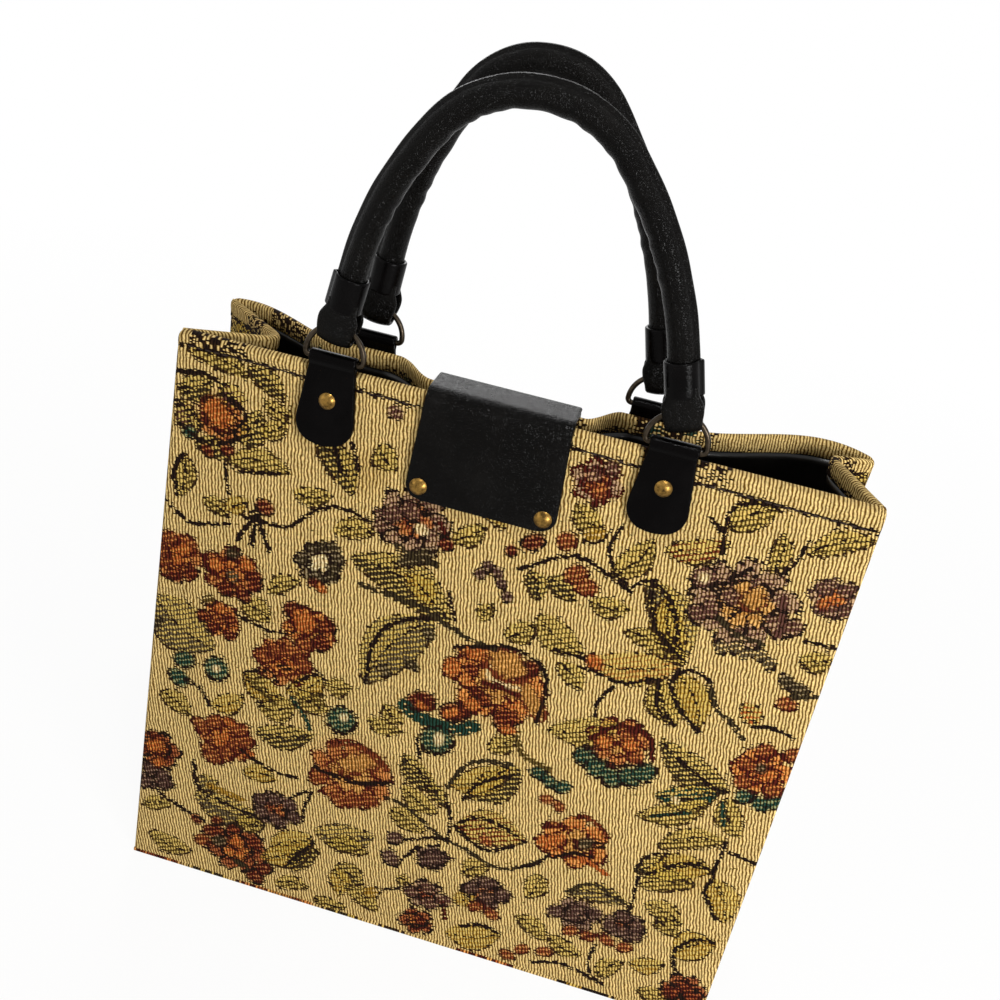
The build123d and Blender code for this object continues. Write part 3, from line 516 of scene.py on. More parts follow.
# Petals, buds and berries: thread, half-width, half-height and the middles of all that are alike.
PETALS = (
    ("orange", 9, 7, -142, 275), ("wine", 4, 3, -145, 255, -135, 258), ("teal", 4, 3, -155, 262),
    ("dark", 3.5, 2.5, -160, 283, -162, 275, -155, 272), ("wine", 5, 4, -113, 234), ("dark", 4, 4, -117, 228),
    ("cream", 5, 4, -82, 213),
    ("coal", 4, 3.2, -82, 221, -76, 222, -86, 219, -90, 212, -74, 212, -73, 217, -82, 205, -75, 206),
    ("wine", 3.5, 2.5, -83, 201), ("orange", 3.5, 2.5, -79, 199),
    ("mauve", 4, 3.5, -57, 298, 45, 298, 38, 293, -55, 240), ("mauve", 6, 4.5, -50, 248, -42, 252),
    ("cream", 4, 3, -35, 244), ("coal", 11, 4, -35, 229), ("wine", 4, 3.5, -22, 240), ("wine", 3, 3, 9, 246),
    ("plum", 3.2, 2.8, 0, 235, 5, 233, -3, 230, 8, 228, 12, 222), ("rust", 6, 4.6, 41, 243, 47, 238),
    ("wine", 6, 4, 18, 253), ("rust", 5, 4.5, 42, 286, 33, 258), ("gold", 6, 4, 45, 265),
    ("mauve", 6, 6, 98, 258), ("cream", 2.5, 2.5, 98, 258),
    ("mauve", 5, 4.5, 143, 245, 105, 243, 100, 240, 112, 252), ("dark", 2.5, 2, 124, 248),
    ("ochre", 6, 5, 122, 253), ("grey", 3, 4, 115, 226, 121, 228, 127, 226, 133, 227, 138, 224),
    ("mauve", 4.5, 3.5, 150, 268, 160, 270, 155, 258, 163, 260), ("orange", 3, 2.5, 152, 260),
    ("coal", 5, 3.4, 149, 217, 155, 215), ("rust", 5, 4, 152, 206),
    ("rust", 5.5, 4.5, -160, 203, -150, 203, -162, 190, -165, 195), ("wine", 4.5, 3.5, -155, 183, -147, 187),
    ("orange", 4, 4, -155, 193, -152, 199), ("orange", 4.5, 4, -134, 196, -118, 200),
    ("coal", 4.5, 3.5, -126, 205), ("wine", 4.5, 3.6, -114, 195, -113, 190, -128, 184, -118, 183),
    ("grey", 4, 3.4, -125, 192), ("orange", 4, 3.6, -130, 172),
    ("wine", 4, 3.2, -138, 165, -123, 167, -123, 158, -132, 160), ("olive", 4, 3, -136, 175),
    ("coal", 3, 8, -165, 150), ("teal", 6, 5, -146, 136, -148, 124), ("teal", 6.5, 7, -128, 136),
    ("cream", 2.2, 2.2, -128, 136), ("wine", 5, 4.5, -92, 183, -73, 178, -75, 168),
    ("orange", 7, 8, -85, 178), ("rust", 5, 4, -83, 165),
    ("rust", 6, 4.5, -103, 152, -97, 157, -90, 158, -83, 153), ("dark", 5, 2, -92, 148),
    ("olive", 5, 4, -105, 134, -72, 134), ("dark", 3, 2.4, -102, 122),
    ("rust", 6, 4.4, -133, 98, -125, 103, -112, 102, -113, 92, -108, 95, -118, 85, -125, 80),
    ("orange", 4, 3, -118, 105, -105, 88, -120, 94), ("teal", 8, 8, -58, 126), ("cream", 2.5, 2.5, -57, 128),
    ("coal", 4, 3, -22, 190, -27, 170, -40, 163), ("orange", 9, 4, 3, 187, 8, 158), ("ochre", 12, 8, 20, 185),
    ("ochre", 5, 12, 35, 170), ("orange", 5, 6, -7, 175),
    ("wine", 4.4, 3.4, 32, 188, 3, 177, 8, 165, 12, 162), ("wine", 7, 5.5, 25, 155),
    ("orange", 5, 3, 27, 149, -17, 149, 0, 150), ("wine", 4, 3, 4, 152), ("teal", 9, 8, -7, 131),
    ("teal", 6.2, 5.4, 68, 147, 75, 142, 84, 139, 92, 142, 98, 147),
    ("teal", 5, 4, 148, 150, 156, 148, 162, 151), ("teal", 4.8, 3.6, 48, 129, 54, 126, 61, 125),
    ("wine", 8, 5.4, -19, 151, -1, 150), ("orange", 5, 3.2, -17, 149, -3, 149), ("cream", 2.6, 4.4, -6, 132),
    ("rust", 4, 3, 55, 115, 62, 113, 85, 165, 92, 153), ("orange", 5, 4, 60, 200, 75, 158, 88, 160),
    ("rust", 5, 4, 150, 178, 163, 180, 143, 168, 145, 158, 160, 158), ("orange", 5, 4, 155, 165),
    ("coal", 3, 3, 151, 168), ("cream", 2.6, 2, 117, 136), ("wine", 6, 3.6, -157, 81),
    ("orange", 7, 5, -158, 76), ("orange", 5, 3.4, -155, 66),
    ("plum", 5, 4, -160, 60, -152, 58, -162, 50, -150, 53), ("dark", 3, 4, -165, 80, -165, 65),
    ("plum", 4.6, 4, -95, 61, -87, 64, -78, 63, -75, 56, -85, 51, -93, 53),
    ("wine", 4, 3, -130, 35, -118, 38, -108, 36), ("wine", 6, 4.5, -120, 30, -95, 30, -88, 15, -92, 8),
    ("rust", 5, 4, -125, 22), ("coal", 5, 4, -115, 25), ("orange", 5, 4, -105, 27),
    ("ochre", 14, 6, -45, 103), ("rust", 5.5, 4, -65, 86, -52, 76, -43, 78, -35, 82), ("rust", 4, 3, 30, 79),
    ("plum", 5, 4, -18, 63), ("plum", 6, 4.5, -18, 49), ("plum", 8, 5.5, 4, 57),
    ("plum", 5.5, 4.4, 36, 52, 28, 46, 45, 47, 38, 42), ("rust", 5, 3.6, 33, 35, 42, 33),
    ("mauve", 5, 4, 5, 37, -3, 31, 8, 27, 15, 32), ("wine", 4, 3, 5, 13), ("dark", 3, 2.4, 0, 8),
    ("gold", 5, 4, -25, 22), ("orange", 6, 4.5, 65, 92, 60, 88), ("coal", 6, 4, 80, 95),
    ("dark", 4, 3, 87, 97),
    ("plum", 4.8, 4, 85, 52, 95, 53, 84, 47, 75, 47, 110, 57, 118, 53, 105, 48, 118, 47, 112, 47),
    ("rust", 4.6, 3.4, 85, 37, 95, 37, 105, 38, 115, 37, 63, 15, 75, 18, 56, 8),
    ("wine", 6, 5, 152, 22, 146, 17, 158, 17),
)

# Fields where the ground itself is woven warmer: thread, radius, middle and how much of it shows.
GLOWS = (
    ("orange", 26, -48, 95, 0.42), ("orange", 26, 16, 172, 0.42), ("orange", 17, 76, 94, 0.36),
    ("orange", 16, 82, 158, 0.28), ("orange", 16, -84, 174, 0.32), ("orange", 15, -126, 194, 0.3),
    ("rust", 15, -156, 194, 0.3), ("orange", 15, -118, 94, 0.3), ("orange", 14, -93, 152, 0.28),
    ("orange", 16, 120, 250, 0.3), ("orange", 15, -142, 275, 0.3), ("orange", 12, -156, 72, 0.34),
    ("orange", 13, -106, 24, 0.28), ("rust", 16, -38, 244, 0.3), ("orange", 12, 152, 166, 0.28),
    ("gold", 16, -36, 174, 0.4), ("gold", 15, -68, 265, 0.35), ("gold", 14, 108, 194, 0.45),
    ("gold", 16, 132, 94, 0.4), ("rust", 18, 98, 47, 0.22), ("rust", 16, -87, 57, 0.2),
    ("rust", 14, 36, 44, 0.22), ("rust", 14, 4, 34, 0.2), ("orange", 12, 40, 290, 0.25),
)

# Open flowers: outer and inner petals, edge, number of petals, radius and middle.
FLOWERS = (
    ("rust", "ochre", "dark", 5, 13, -139, 272), ("mauve", "rust", "dark", 8, 19, -40, 247),
    ("mauve", "ochre", "dark", 9, 25, 119, 250), ("mauve", "orange", "plum", 6, 11, 156, 264),
    ("mauve", "rust", "wine", 6, 12, 40, 290), ("coal", "cream", "dark", 7, 12, -82, 212),
    ("rust", "orange", "wine", 6, 15, -156, 194), ("rust", "orange", "wine", 6, 15, -126, 194),
    ("orange", "rust", "wine", 5, 11, -129, 166), ("orange", "ochre", "wine", 5, 14, -82, 174),
    ("rust", "orange", "wine", 8, 16, -93, 151), ("rust", "orange", "wine", 7, 16, -119, 93),
    ("rust", "ochre", "wine", 10, 23, -48, 94), ("orange", "ochre", "wine", 5, 24, 17, 172),
    ("rust", "ochre", "wine", 7, 16, 82, 160), ("orange", "rust", "wine", 6, 15, 152, 166),
    ("orange", "ochre", "wine", 6, 18, 75, 94), ("wine", "orange", "dark", 6, 13, -156, 74),
    ("plum", "rust", "dark", 6, 13, -86, 57), ("plum", "mauve", "dark", 6, 9, -156, 55),
    ("wine", "orange", "dark", 7, 18, -105, 24), ("plum", "rust", "dark", 6, 12, 36, 45),
    ("mauve", "wine", "dark", 6, 11, 5, 32), ("plum", "mauve", "dark", 6, 12, 86, 49),
    ("plum", "rust", "dark", 6, 11, 112, 51), ("wine", "rust", "dark", 6, 12, 152, 21),
    ("plum", "mauve", "dark", 5, 9, 4, 58), ("wine", "rust", "dark", 5, 10, 3, 12),
    ("mauve", "rust", "dark", 7, 16, -10, 283),
)


def seam_height(u):
    """Height of the stitching below the rim, which droops a little to the right."""
    return np.interp(u, (-HALF_WIDTH, 0.0, HALF_WIDTH), (304.2, 303.0, 299.8))


# A leaf is drawn wider than its listed width, which was read too narrow.
LEAF_FULLNESS = 1.36
# How heavily a leaf's thread covers the ground, where it isn't the usual share.
LEAF_WEIGHTS = {"coal": 1.2, "grey": 1.1, "teal": 1.6}
LEAF_WEIGHT = 0.75
# The thread that edges a petal, where it isn't dark.
PETAL_EDGES = {"orange": "wine", "ochre": "rust", "rust": "wine", "cream": None, "dark": None}


class Cloth:
    """The flat tapestry at a set of points: its ground, its coloured threads and its dark outlines."""

    def __init__(self, u, v):
        self.u, self.v = u, v
        self.ground = np.tile(np.array(linear(GROUND)), (len(u), 1))
        self.thread = np.tile(np.array(linear(THREADS["olive"])[:3] + [0.0]), (len(u), 1))
        self.line = np.tile(np.array(linear(THREADS["dark"])[:3] + [0.0]), (len(u), 1))

    def near(self, points, reach):
        """The points of the cloth that lie within reach of a set of places."""
        low, high = np.min(points, axis=0) - reach, np.max(points, axis=0) + reach
        inside = (self.u > low[0]) & (self.u < high[0]) & (self.v > low[1]) & (self.v < high[1])
        return np.nonzero(inside)[0]

    def lay(self, layer, at, share, thread, density):
        """Lays a thread over a layer where share is above 0."""
        over = np.array(linear(THREADS[thread])[:3] + [density])
        layer[at] = layer[at] * (1 - share[:, None]) + over * share[:, None]

    def glow(self, thread, radius, x, y, amount):
        """A round field of ground in a warmer thread."""
        at = self.near([(x, y)], radius * 1.3)
        away = np.hypot(self.u[at] - x, (self.v[at] - y) * 1.1) / radius
        self.lay(self.ground, at, amount * (1 - smooth(0.35, 1.2, away)), thread, 1.0)

    def flower(self, outer, inner, edge, count, radius, x, y):
        """An open flower: a ring of lobed petals, a smaller ring inside it and a heart."""
        at = self.near([(x, y)], radius * 1.2)
        px, py = self.u[at] - x, self.v[at] - y
        away = np.hypot(px, py * 1.12) / radius + 0.05 * np.sin(px * 0.9) * np.sin(py * 0.8 + x)
        turn = np.arctan2(py, px) + 0.5 * away
        for reach, thread, petals, phase in ((1.0, outer, count, x), (0.55, inner, count - 2, y)):
            lobes = np.abs(np.cos(turn * petals / 2 + phase))
            bound = reach * (0.68 + 0.34 * np.sqrt(lobes))
            inside = 1 - smooth(bound - 0.05, bound + 0.02, away)
            throat = inside * (1 - smooth(0.5, 0.85, away / bound))
            self.lay(self.ground, at, 0.92 * inside, thread + "_lit", 1.0)
            self.lay(self.thread, at, inside, thread, 0.18)
            self.lay(self.thread, at, throat, thread, 0.72)
            self.lay(self.line, at, inside, edge, 0.0)
            rim = np.exp(-(((away - bound) * radius / 1.15) ** 2)) * (0.45 + 0.55 * lobes)
            split = (1 - smooth(0.12, 0.42, lobes)) * smooth(0.35, 0.5, away / reach) * (away < bound)
            self.lay(self.line, at, np.maximum(rim, split), edge, 0.93)
        self.lay(self.line, at, 1 - smooth(0.1, 0.2, away), edge, 0.7)

    def leaf(self, thread, width, x, y, tip_x, tip_y):
        """A pointed leaf: straw ground, a hatched half, a light half, and a dark rib and edge."""
        width *= LEAF_FULLNESS
        at = self.near([(x, y), (tip_x, tip_y)], width)
        reach = math.hypot(tip_x - x, tip_y - y)
        ex, ey = (tip_x - x) / reach, (tip_y - y) / reach
        t = ((self.u[at] - x) * ex + (self.v[at] - y) * ey) / reach
        w = (self.v[at] - y) * ex - (self.u[at] - x) * ey
        full = np.sin(math.pi * np.clip(t, 0, 1))
        w = w - 0.09 * reach * full * (1 if (x + tip_y) % 2 < 1 else -1)
        edge = width / 2 * full**0.75 * (1.15 - 0.25 * t) - np.abs(w)
        inside = smooth(-0.5, 0.5, edge) * (full > 0)
        below = smooth(-0.4, 0.4, -w * (1 if ex > 0 else -1))
        veins = smooth(-0.3, 0.7, np.sin((t * reach * 0.75 + np.abs(w) * 1.1) * 2 * math.pi / 5.2))
        heavy = LEAF_WEIGHTS.get(thread, LEAF_WEIGHT)
        self.lay(self.ground, at, 0.62 * inside, "straw", 1.0)
        self.lay(self.thread, at, inside, thread, heavy * 0.2)
        self.lay(self.thread, at, inside * np.maximum(below, 0.6 * veins), thread, heavy * 0.54)
        self.lay(self.line, at, np.exp(-((w / 0.6) ** 2)) * (full > 0.02), "dark", 0.75)
        rim = np.exp(-((edge / 0.8) ** 2)) * (full > 0.02)
        self.lay(self.line, at, rim * (0.5 + 0.45 * below), "brown", 0.85)

    def stem(self, thread, width, *places):
        """A curved stem or outline through its places."""
        knots = np.array(places, dtype=float).reshape(-1, 2)
        at = self.near(knots, width + 4)
        ends = np.vstack((2 * knots[0] - knots[1], knots, 2 * knots[-1] - knots[-2]))
        t = np.linspace(0, 1, 7)[:, None]
        best = np.full(len(at), 1e9)
        for a, b, c, d in zip(ends, ends[1:], ends[2:], ends[3:]):
            bow, twist = 2 * a - 5 * b + 4 * c - d, 3 * b - a - 3 * c + d
            run = 0.5 * (2 * b + (c - a) * t + bow * t**2 + twist * t**3)
            for p, q in zip(run, run[1:]):
                px, py = self.u[at] - p[0], self.v[at] - p[1]
                dx, dy = q - p
                k = np.clip((px * dx + py * dy) / (dx * dx + dy * dy + 1e-9), 0, 1)
                best = np.minimum(best, np.hypot(px - k * dx, py - k * dy))
        layer = self.line if thread in ("dark", "coal") else self.thread
        self.lay(layer, at, 1 - smooth(width * 0.3, width * 0.3 + 1.0, best), thread, 0.93)

    def petal(self, thread, half, rise, *places):
        """Rounded petals that are alike, each with a dark lower edge."""
        for x, y in np.array(places, dtype=float).reshape(-1, 2):
            at = self.near([(x, y)], max(half, rise) * 1.5)
            turn = 0.7 * math.sin(x * 0.37 + y * 0.23)
            px, py = self.u[at] - x, self.v[at] - y
            a, b = px * math.cos(turn) + py * math.sin(turn), py * math.cos(turn) - px * math.sin(turn)
            away = np.hypot(a / half, b / rise)
            if thread + "_lit" in THREADS:
                self.lay(self.ground, at, 0.85 * (1 - smooth(0.8, 1.15, away)), thread + "_lit", 1.0)
            self.lay(self.thread, at, 1 - smooth(0.78, 1.22, away), thread, 0.68)
            self.lay(self.line, at, 0.8 * (1 - smooth(0.3, 0.95, away)), thread, 0.0)
            edge = PETAL_EDGES.get(thread, "dark")
            if edge:
                low = np.exp(-(((away - 1.02) / 0.17) ** 2)) * (0.5 + 0.5 * smooth(-0.1, 0.6, -b / rise))
                self.lay(self.line, at, low, edge, 0.9)

    def draw(self, along, height):
        """Weaves the whole design: warm fields, flowers, leaves, petals, stems, and last the plain rim."""
        for weave, motifs in (
            (self.glow, GLOWS),
            (self.flower, FLOWERS),
            (self.leaf, LEAVES),
            (self.petal, PETALS),
            (self.stem, STEMS),
        ):
            for motif in motifs:
                weave(*motif)
        seam = seam_height(along)
        rim = smooth(seam, seam + 2, height)
        patch = smooth(0.3, 0.5, waves(along * 2.6, height, 4.0))
        self.ground += (np.array(linear(GROUND)) - self.ground) * rim[:, None]
        self.thread[:, 3] *= 1 - rim
        self.line[:, 3] = np.maximum(self.line[:, 3] * (1 - rim), 0.62 * rim * patch)
        sewn = np.exp(-(((height - seam) / 1.0) ** 2))
        self.lay(self.line, np.arange(len(self.u)), sewn, "dark", 0.97)


def dye(mesh, shift):
    """Weaves the design into a wall: shift moves the cloth under it, as each wall is cut elsewhere."""
    flat = np.empty(len(mesh.vertices) * 3)
    mesh.attributes["weave"].data.foreach_get("vector", flat)
    weave = flat.reshape(-1, 3)
    u = (weave[:, 0] + shift[0] + HALF_WIDTH) % (2 * HALF_WIDTH) - HALF_WIDTH
    v = (weave[:, 1] + shift[1]) % HEIGHT if shift[1] else weave[:, 1]
    cloth = Cloth(u, v)
    cloth.draw(weave[:, 0], weave[:, 1])
    for name, layer in (("ground", cloth.ground), ("thread", cloth.thread), ("line", cloth.line)):
        mesh.attributes.new(name, "FLOAT_COLOR", "POINT").data.foreach_set("color", layer.ravel())
    drop = HEIGHT - weave[:, 1]
    weave[:, 0] -= RIB_SLANT * drop + RIB_CURVE * drop * drop
    mesh.attributes["weave"].data.foreach_set("vector", weave.ravel())


def shade_surface(tree, shader, share, low, high, height, strength, depth):
    """Colours a surface between two shades by share, and raises it by height, up to depth in millimetres."""
    mixed = add_node(tree, MIX, {0: share}, {6: low, 7: high}, data_type="RGBA")
    tree.links.new(mixed.outputs[2], shader.inputs["Base Color"])
    bump = add_node(tree, BUMP, {"Height": height}, {"Strength": strength, "Distance": depth * MM})
    tree.links.new(bump.outputs[0], shader.inputs["Normal"])


def tapestry(context):
    """Cotton tapestry, ribbed weave: fine slanting ribs with painted shade in their grooves, colours broken into
    short dashes, no gloss.
    """
    size = sizes(context)
    material, tree, shader = new_material(
        "tapestry_ribbed_cotton", Roughness=0.9, Specular_IOR_Level=0.1, IOR=1.45
    )
    # Ribs that sway a little, and picks along each rib that start at their own height.
    weave = add_node(tree, "ShaderNodeAttribute", attribute_name="weave").outputs["Vector"]
    wobble = add_node(tree, NOISE, {"Vector": weave}, {"Scale": 1 / size["rib_sway"], "Detail": 2.0})
    wander = add_node(tree, VECTOR, {0: wobble.outputs["Color"]}, {1: (2.3, 1.2, 0.0)}, operation="MULTIPLY")
    drawn = add_node(tree, VECTOR, {0: weave, 1: wander}, operation="ADD")
    parts = add_node(tree, "ShaderNodeSeparateXYZ", {0: drawn}).outputs
    rib = add_node(tree, MATH, {0: parts[0]}, {1: size["rib_pitch"]}, operation="DIVIDE")
    column = add_node(tree, MATH, {0: rib}, operation="FLOOR")
    loose = add_node(tree, "ShaderNodeTexWhiteNoise", {"W": column}, noise_dimensions="1D").outputs["Value"]
    stagger = add_node(tree, MATH, {0: loose}, {1: 0.4}, operation="MULTIPLY")
    picks = add_node(tree, MATH, {0: parts[1]}, {1: size["pick_pitch"]}, operation="DIVIDE")
    row = add_node(tree, MATH, {0: picks, 1: stagger}, operation="ADD")
    pick = add_node(tree, MATH, {0: row}, operation="FLOOR")
    # Each crossing of rib and pick shows one thread: a slanting order for the fills, pure chance for the lines.
    cell = add_node(tree, "ShaderNodeCombineXYZ", {0: column, 1: pick})
    chance = add_node(tree, "ShaderNodeTexWhiteNoise", {"Vector": cell}, noise_dimensions="2D").outputs["Color"]
    dice = add_node(tree, "ShaderNodeSeparateColor", {0: chance}).outputs
    rising = add_node(tree, MATH, {0: pick, 1: column}, operation="SUBTRACT")
    quarter = add_node(tree, MATH, {0: rising}, {1: 0.25}, operation="MULTIPLY")
    twill = add_node(tree, MATH, {0: quarter}, operation="FRACT")
    evened = add_node(tree, MATH, {0: dice[0]}, {1: 0.25}, operation="MULTIPLY")
    order = add_node(tree, MATH, {0: twill, 1: evened}, operation="ADD")
    mixed = add_node(tree, "ShaderNodeAttribute", attribute_name="ground").outputs["Color"]
    for name, roll in (("thread", order), ("line", dice[1])):
        layer = add_node(tree, "ShaderNodeAttribute", attribute_name=name).outputs
        shown = add_node(tree, MATH, {0: roll, 1: layer["Alpha"]}, operation="LESS_THAN")
        mixed = add_node(tree, MIX, {0: shown, 6: mixed, 7: layer["Color"]}, data_type="RGBA").outputs[2]
    # A rib is round: its crest keeps the thread's colour, and painted shade darkens the colour to a deep brown
    # towards the groove beside it.
    across = add_node(tree, MATH, {0: rib}, operation="FRACT")
    rounded = add_node(tree, MATH, {0: across}, {1: math.pi}, operation="MULTIPLY")
    height = add_node(tree, MATH, {0: rounded}, operation="SINE")
    shade = add_node(tree, RANGE, {0: dice[2]}, {3: 0.78, 4: 1.16})
    painted_light_share = add_node(tree, RANGE, {0: height}, {1: 0.38, 2: 0.99, 3: 0.0, 4: 1.0})
    toned = add_node(tree, VECTOR, {0: mixed, "Scale": shade}, operation="SCALE")
    # Painted shade in the groove: the colour darkened to a deep brown, mixed in by the rib's height.
    painted_groove_shade = add_node(tree, VECTOR, {0: toned}, {1: (0.155, 0.1, 0.03)}, operation="MULTIPLY")
    painted_rib_shading = add_node(tree, MIX, {0: painted_light_share, 6: painted_groove_shade, 7: toned}, data_type="RGBA").outputs[2]
    tree.links.new(painted_rib_shading, shader.inputs["Base Color"])
    slub = add_node(tree, MATH, {0: dice[2]}, {1: 0.25}, operation="MULTIPLY")
    raised = add_node(tree, MATH, {0: height, 1: slub}, operation="ADD")
    bump = add_node(tree, BUMP, {"Height": raised}, {"Strength": 0.55, "Distance": 0.35 * MM})
    tree.links.new(bump.outputs[0], shader.inputs["Normal"])
    return material


def leather(context, name, key, roughness, relief, grain_share, gloss_level):
    """Black cow hide, dyed and finished: fine cells of grain, broken highlights, a little rubbed brown."""
    size = sizes(context)
    material, tree, shader = new_material(name, IOR=1.5, Specular_IOR_Level=gloss_level)
    place = {"Vector": add_node(tree, "ShaderNodeTexCoord").outputs["Object"]}
    scale = 1 / (size["grain"] * grain_share * MM)
    cells = add_node(tree, "ShaderNodeTexVoronoi", place, {"Scale": scale}, feature="DISTANCE_TO_EDGE")
    scale = 1 / (size["pores"] * MM)
    pores = add_node(tree, NOISE, place, {"Scale": scale, "Detail": 4.0, "Roughness": 0.6})
    rubbed = add_node(tree, NOISE, place, {"Scale": 1 / (size["rubs"] * MM), "Detail": 3.0})
    creases = add_node(tree, NOISE, place, {"Scale": 1 / (size["creases"] * MM), "Detail": 2.0})
    worn = add_node(tree, RANGE, {0: rubbed}, {1: 0.45, 2: 0.8})
    ends = {1: 0.3, 2: 0.75, 3: roughness - 0.07, 4: roughness + 0.12}
    gloss = add_node(tree, RANGE, {0: rubbed}, ends)
    tree.links.new(gloss.outputs[0], shader.inputs["Roughness"])
    plump = add_node(tree, RANGE, {0: cells.outputs["Distance"]}, {1: 0.0, 2: 0.22})
    grain = add_node(tree, MATH, {0: plump, 1: pores}, operation="ADD")
    folded = add_node(tree, MATH, {0: creases}, {1: 3.0}, operation="MULTIPLY")
    height = add_node(tree, MATH, {0: grain, 1: folded}, operation="ADD")
    base = tint(context, key)
    brown = [min(1.0, c * 1.6 + 0.0012) for c in base[:3]] + [1.0]
    shade_surface(tree, shader, worn, base, brown, height, relief, 0.25)
    return material


def worn_metal(context, name, bright, dull, roughness, film_size):
    """Plated wire or stamped brass, handled for years: bright where rubbed, a dull film in patches."""
    material, tree, shader = new_material(name, Metallic=1.0)
    place = add_node(tree, "ShaderNodeTexCoord").outputs["Object"]
    scale = 1 / (sizes(context)[film_size] * MM)
    film = add_node(tree, NOISE, {"Vector": place}, {"Scale": scale, "Detail": 5.0, "Roughness": 0.65})
    patch = add_node(tree, RANGE, {0: film}, {1: 0.42, 2: 0.68})
    gloss = add_node(tree, RANGE, {0: patch}, {3: roughness, 4: roughness + 0.25})
    tree.links.new(gloss.outputs[0], shader.inputs["Roughness"])
    shade_surface(tree, shader, patch, bright, dull, film, 0.12, 0.1)
    return material


def vinyl(context):
    """Vinyl coated lining cloth: black, glossy, faintly crinkled."""
    material, tree, shader = new_material("vinyl_lining", Roughness=0.28, IOR=1.53, Specular_IOR_Level=0.25)
    place = add_node(tree, "ShaderNodeTexCoord").outputs["Object"]
    scale = 1 / (sizes(context)["crinkles"] * MM)
    crinkle = add_node(tree, NOISE, {"Vector": place}, {"Scale": scale, "Detail": 4.0})
    shade_surface(tree, shader, crinkle, tint(context, "lining"), linear("#0c0a08"), crinkle, 0.35, 1.2)
    return material


def fibres(context, name, key, dark, streak_size, stretch):
    """Twisted thread or pressed fibre board: dull, with short streaks of fibre."""
    material, tree, shader = new_material(name, Roughness=0.85, IOR=1.45)
    place = add_node(tree, "ShaderNodeTexCoord").outputs["Object"]
    pulled = add_node(tree, "ShaderNodeMapping", {"Vector": place}, {"Scale": stretch})
    scale = 1 / (sizes(context)[streak_size] * MM)
    streak = add_node(tree, NOISE, {"Vector": pulled}, {"Scale": scale, "Detail": 3.0})
    shade_surface(tree, shader, streak, linear(dark), tint(context, key), streak, 0.3, 0.15)
    return material


def rim_relief(u, z, size, held):
    """How far a wall's outside stands proud: the swollen rim, the seam's groove and slow waves.

    held gives the middle and half-width of each stretch that leather keeps flat."""
    seam = seam_height(u)
    swell = np.sin(math.pi * np.clip((z - seam) / (HEIGHT + 1.5 - seam), 0, 1)) ** 0.7
    groove = np.exp(-(((z - seam) / 1.1) ** 2))
    high = smooth(240, 270, z)
    free = np.ones_like(u)
    for middle, half in held:
        free *= smooth(half, half + 16, np.abs(u - middle)) * high + 1 - high
    slack = waves(u, z, 1.0 + len(held)) * smooth(0, 45, z) * smooth(302, 280, z)
    slack *= smooth(0, 35, HALF_WIDTH - np.abs(u))
    return (0.25 + 0.75 * free) * size["rim_puff"] * swell + free * (size["slackness"] * slack - 0.9 * groove)


def gusset_relief(u, z, size, side):
    """How far a gusset's outside stands proud: slow waves, the swollen rim and the seam's groove."""
    slack = 0.5 * size["slackness"] * waves(u, z, 3.0 + side) * smooth(0, 40, z)
    swell = np.sin(math.pi * np.clip((z - 303) / 9.5, 0, 1))
    return slack + 0.8 * (swell - np.exp(-(((z - 302.5) / 1.1) ** 2)))


def wall_cut(thick, hem, step):
    """Heights and depths round a wall's upright cut: up the outside, over the rim and down the inside."""
    deep = thick + hem
    roll = deep / 2
    up = np.arange(0.0, HEIGHT - roll - 0.5, step)
    over = np.linspace(0, math.pi, 13)
    down = np.linspace(INSIDE_TOP, 0.0, 12)
    z = np.concatenate((up, HEIGHT - roll + roll * np.sin(over), HEM_EDGE, down, (0.0,)))
    inside = (deep, deep, thick), np.full_like(down, thick), (0.0,)
    return z, np.concatenate((np.zeros_like(up), roll - roll * np.cos(over)) + inside)


def cloth_wall(name, line, spots, thick, hem, step, relief, corner=0.0):
    """A wall of cloth: line gives its outer edge in plan at a height share and a column, spots the columns."""
    z_cut, d_cut = wall_cut(thick, hem, step)
    reach = np.concatenate(([0.0], np.cumsum(np.hypot(*np.diff(np.stack(line(1.0, spots)[:2]), axis=1)))))
    ends = np.minimum(reach, reach[-1] - reach)
    u_cut = reach - reach[-1] / 2

    def cut(across, along):
        k = np.rint(across * (len(z_cut) - 1)).astype(int)
        return k, np.rint(along * (len(spots) - 1)).astype(int)

    def place(across, along):
        k, column = cut(across, along)
        z, d = z_cut[k], d_cut[k]
        x, y, in_x, in_y = line(z / HEIGHT, spots[column])
        outside = 1 - smooth(0.0, (thick + hem) * 0.6, d)
        d = d - relief(u_cut[column], z) * outside
        squeeze = np.sqrt(np.clip(1 - (1 - np.clip(ends[column] / 2.2, 0, 1)) ** 2, 0.06, 1))
        d = thick / 2 + (d - thick / 2) * squeeze
        pull = 1 - np.sqrt(1 - (1 - np.clip(ends[column] / 3.5, 0, 1)) ** 2)
        z = z - corner * pull * smooth(HEIGHT - 14, HEIGHT, z)
        return x + in_x * d, y + in_y * d, z

    def weave(across, along):
        k, column = cut(across, along)
        return u_cut[column], z_cut[k], np.zeros_like(across)

    mesh = bent_grid(name, len(z_cut) - 1, len(spots) - 1, place, weave)
    close_mesh(mesh)
    return mesh


def even_spots(low, high, step):
    """Columns between two ends, closer together at the rounded ends."""
    inner = np.linspace(low + 2.0, high - 2.0, int((high - low) / step))
    turn = np.array((0.0, 0.15, 0.5, 1.1))
    return np.concatenate((low + turn, inner, high - turn[::-1]))


def front_line(share, x):
    """The front's outer edge in plan at a share of its height: its points, and the way inwards."""
    x = np.asarray(x, dtype=float) + 0 * share
    return x, -HALF_DEPTH + (FRONT_RIM_Y + HALF_DEPTH) * share + 0 * x, 0 * x, 0 * x + 1


def back_line(share, x):
    """The back's outer edge in plan, in the same way."""
    x = np.asarray(x, dtype=float) + 0 * share
    return x, HALF_DEPTH + (back_rim_y(x) - HALF_DEPTH) * share, 0 * x, 0 * x - 1


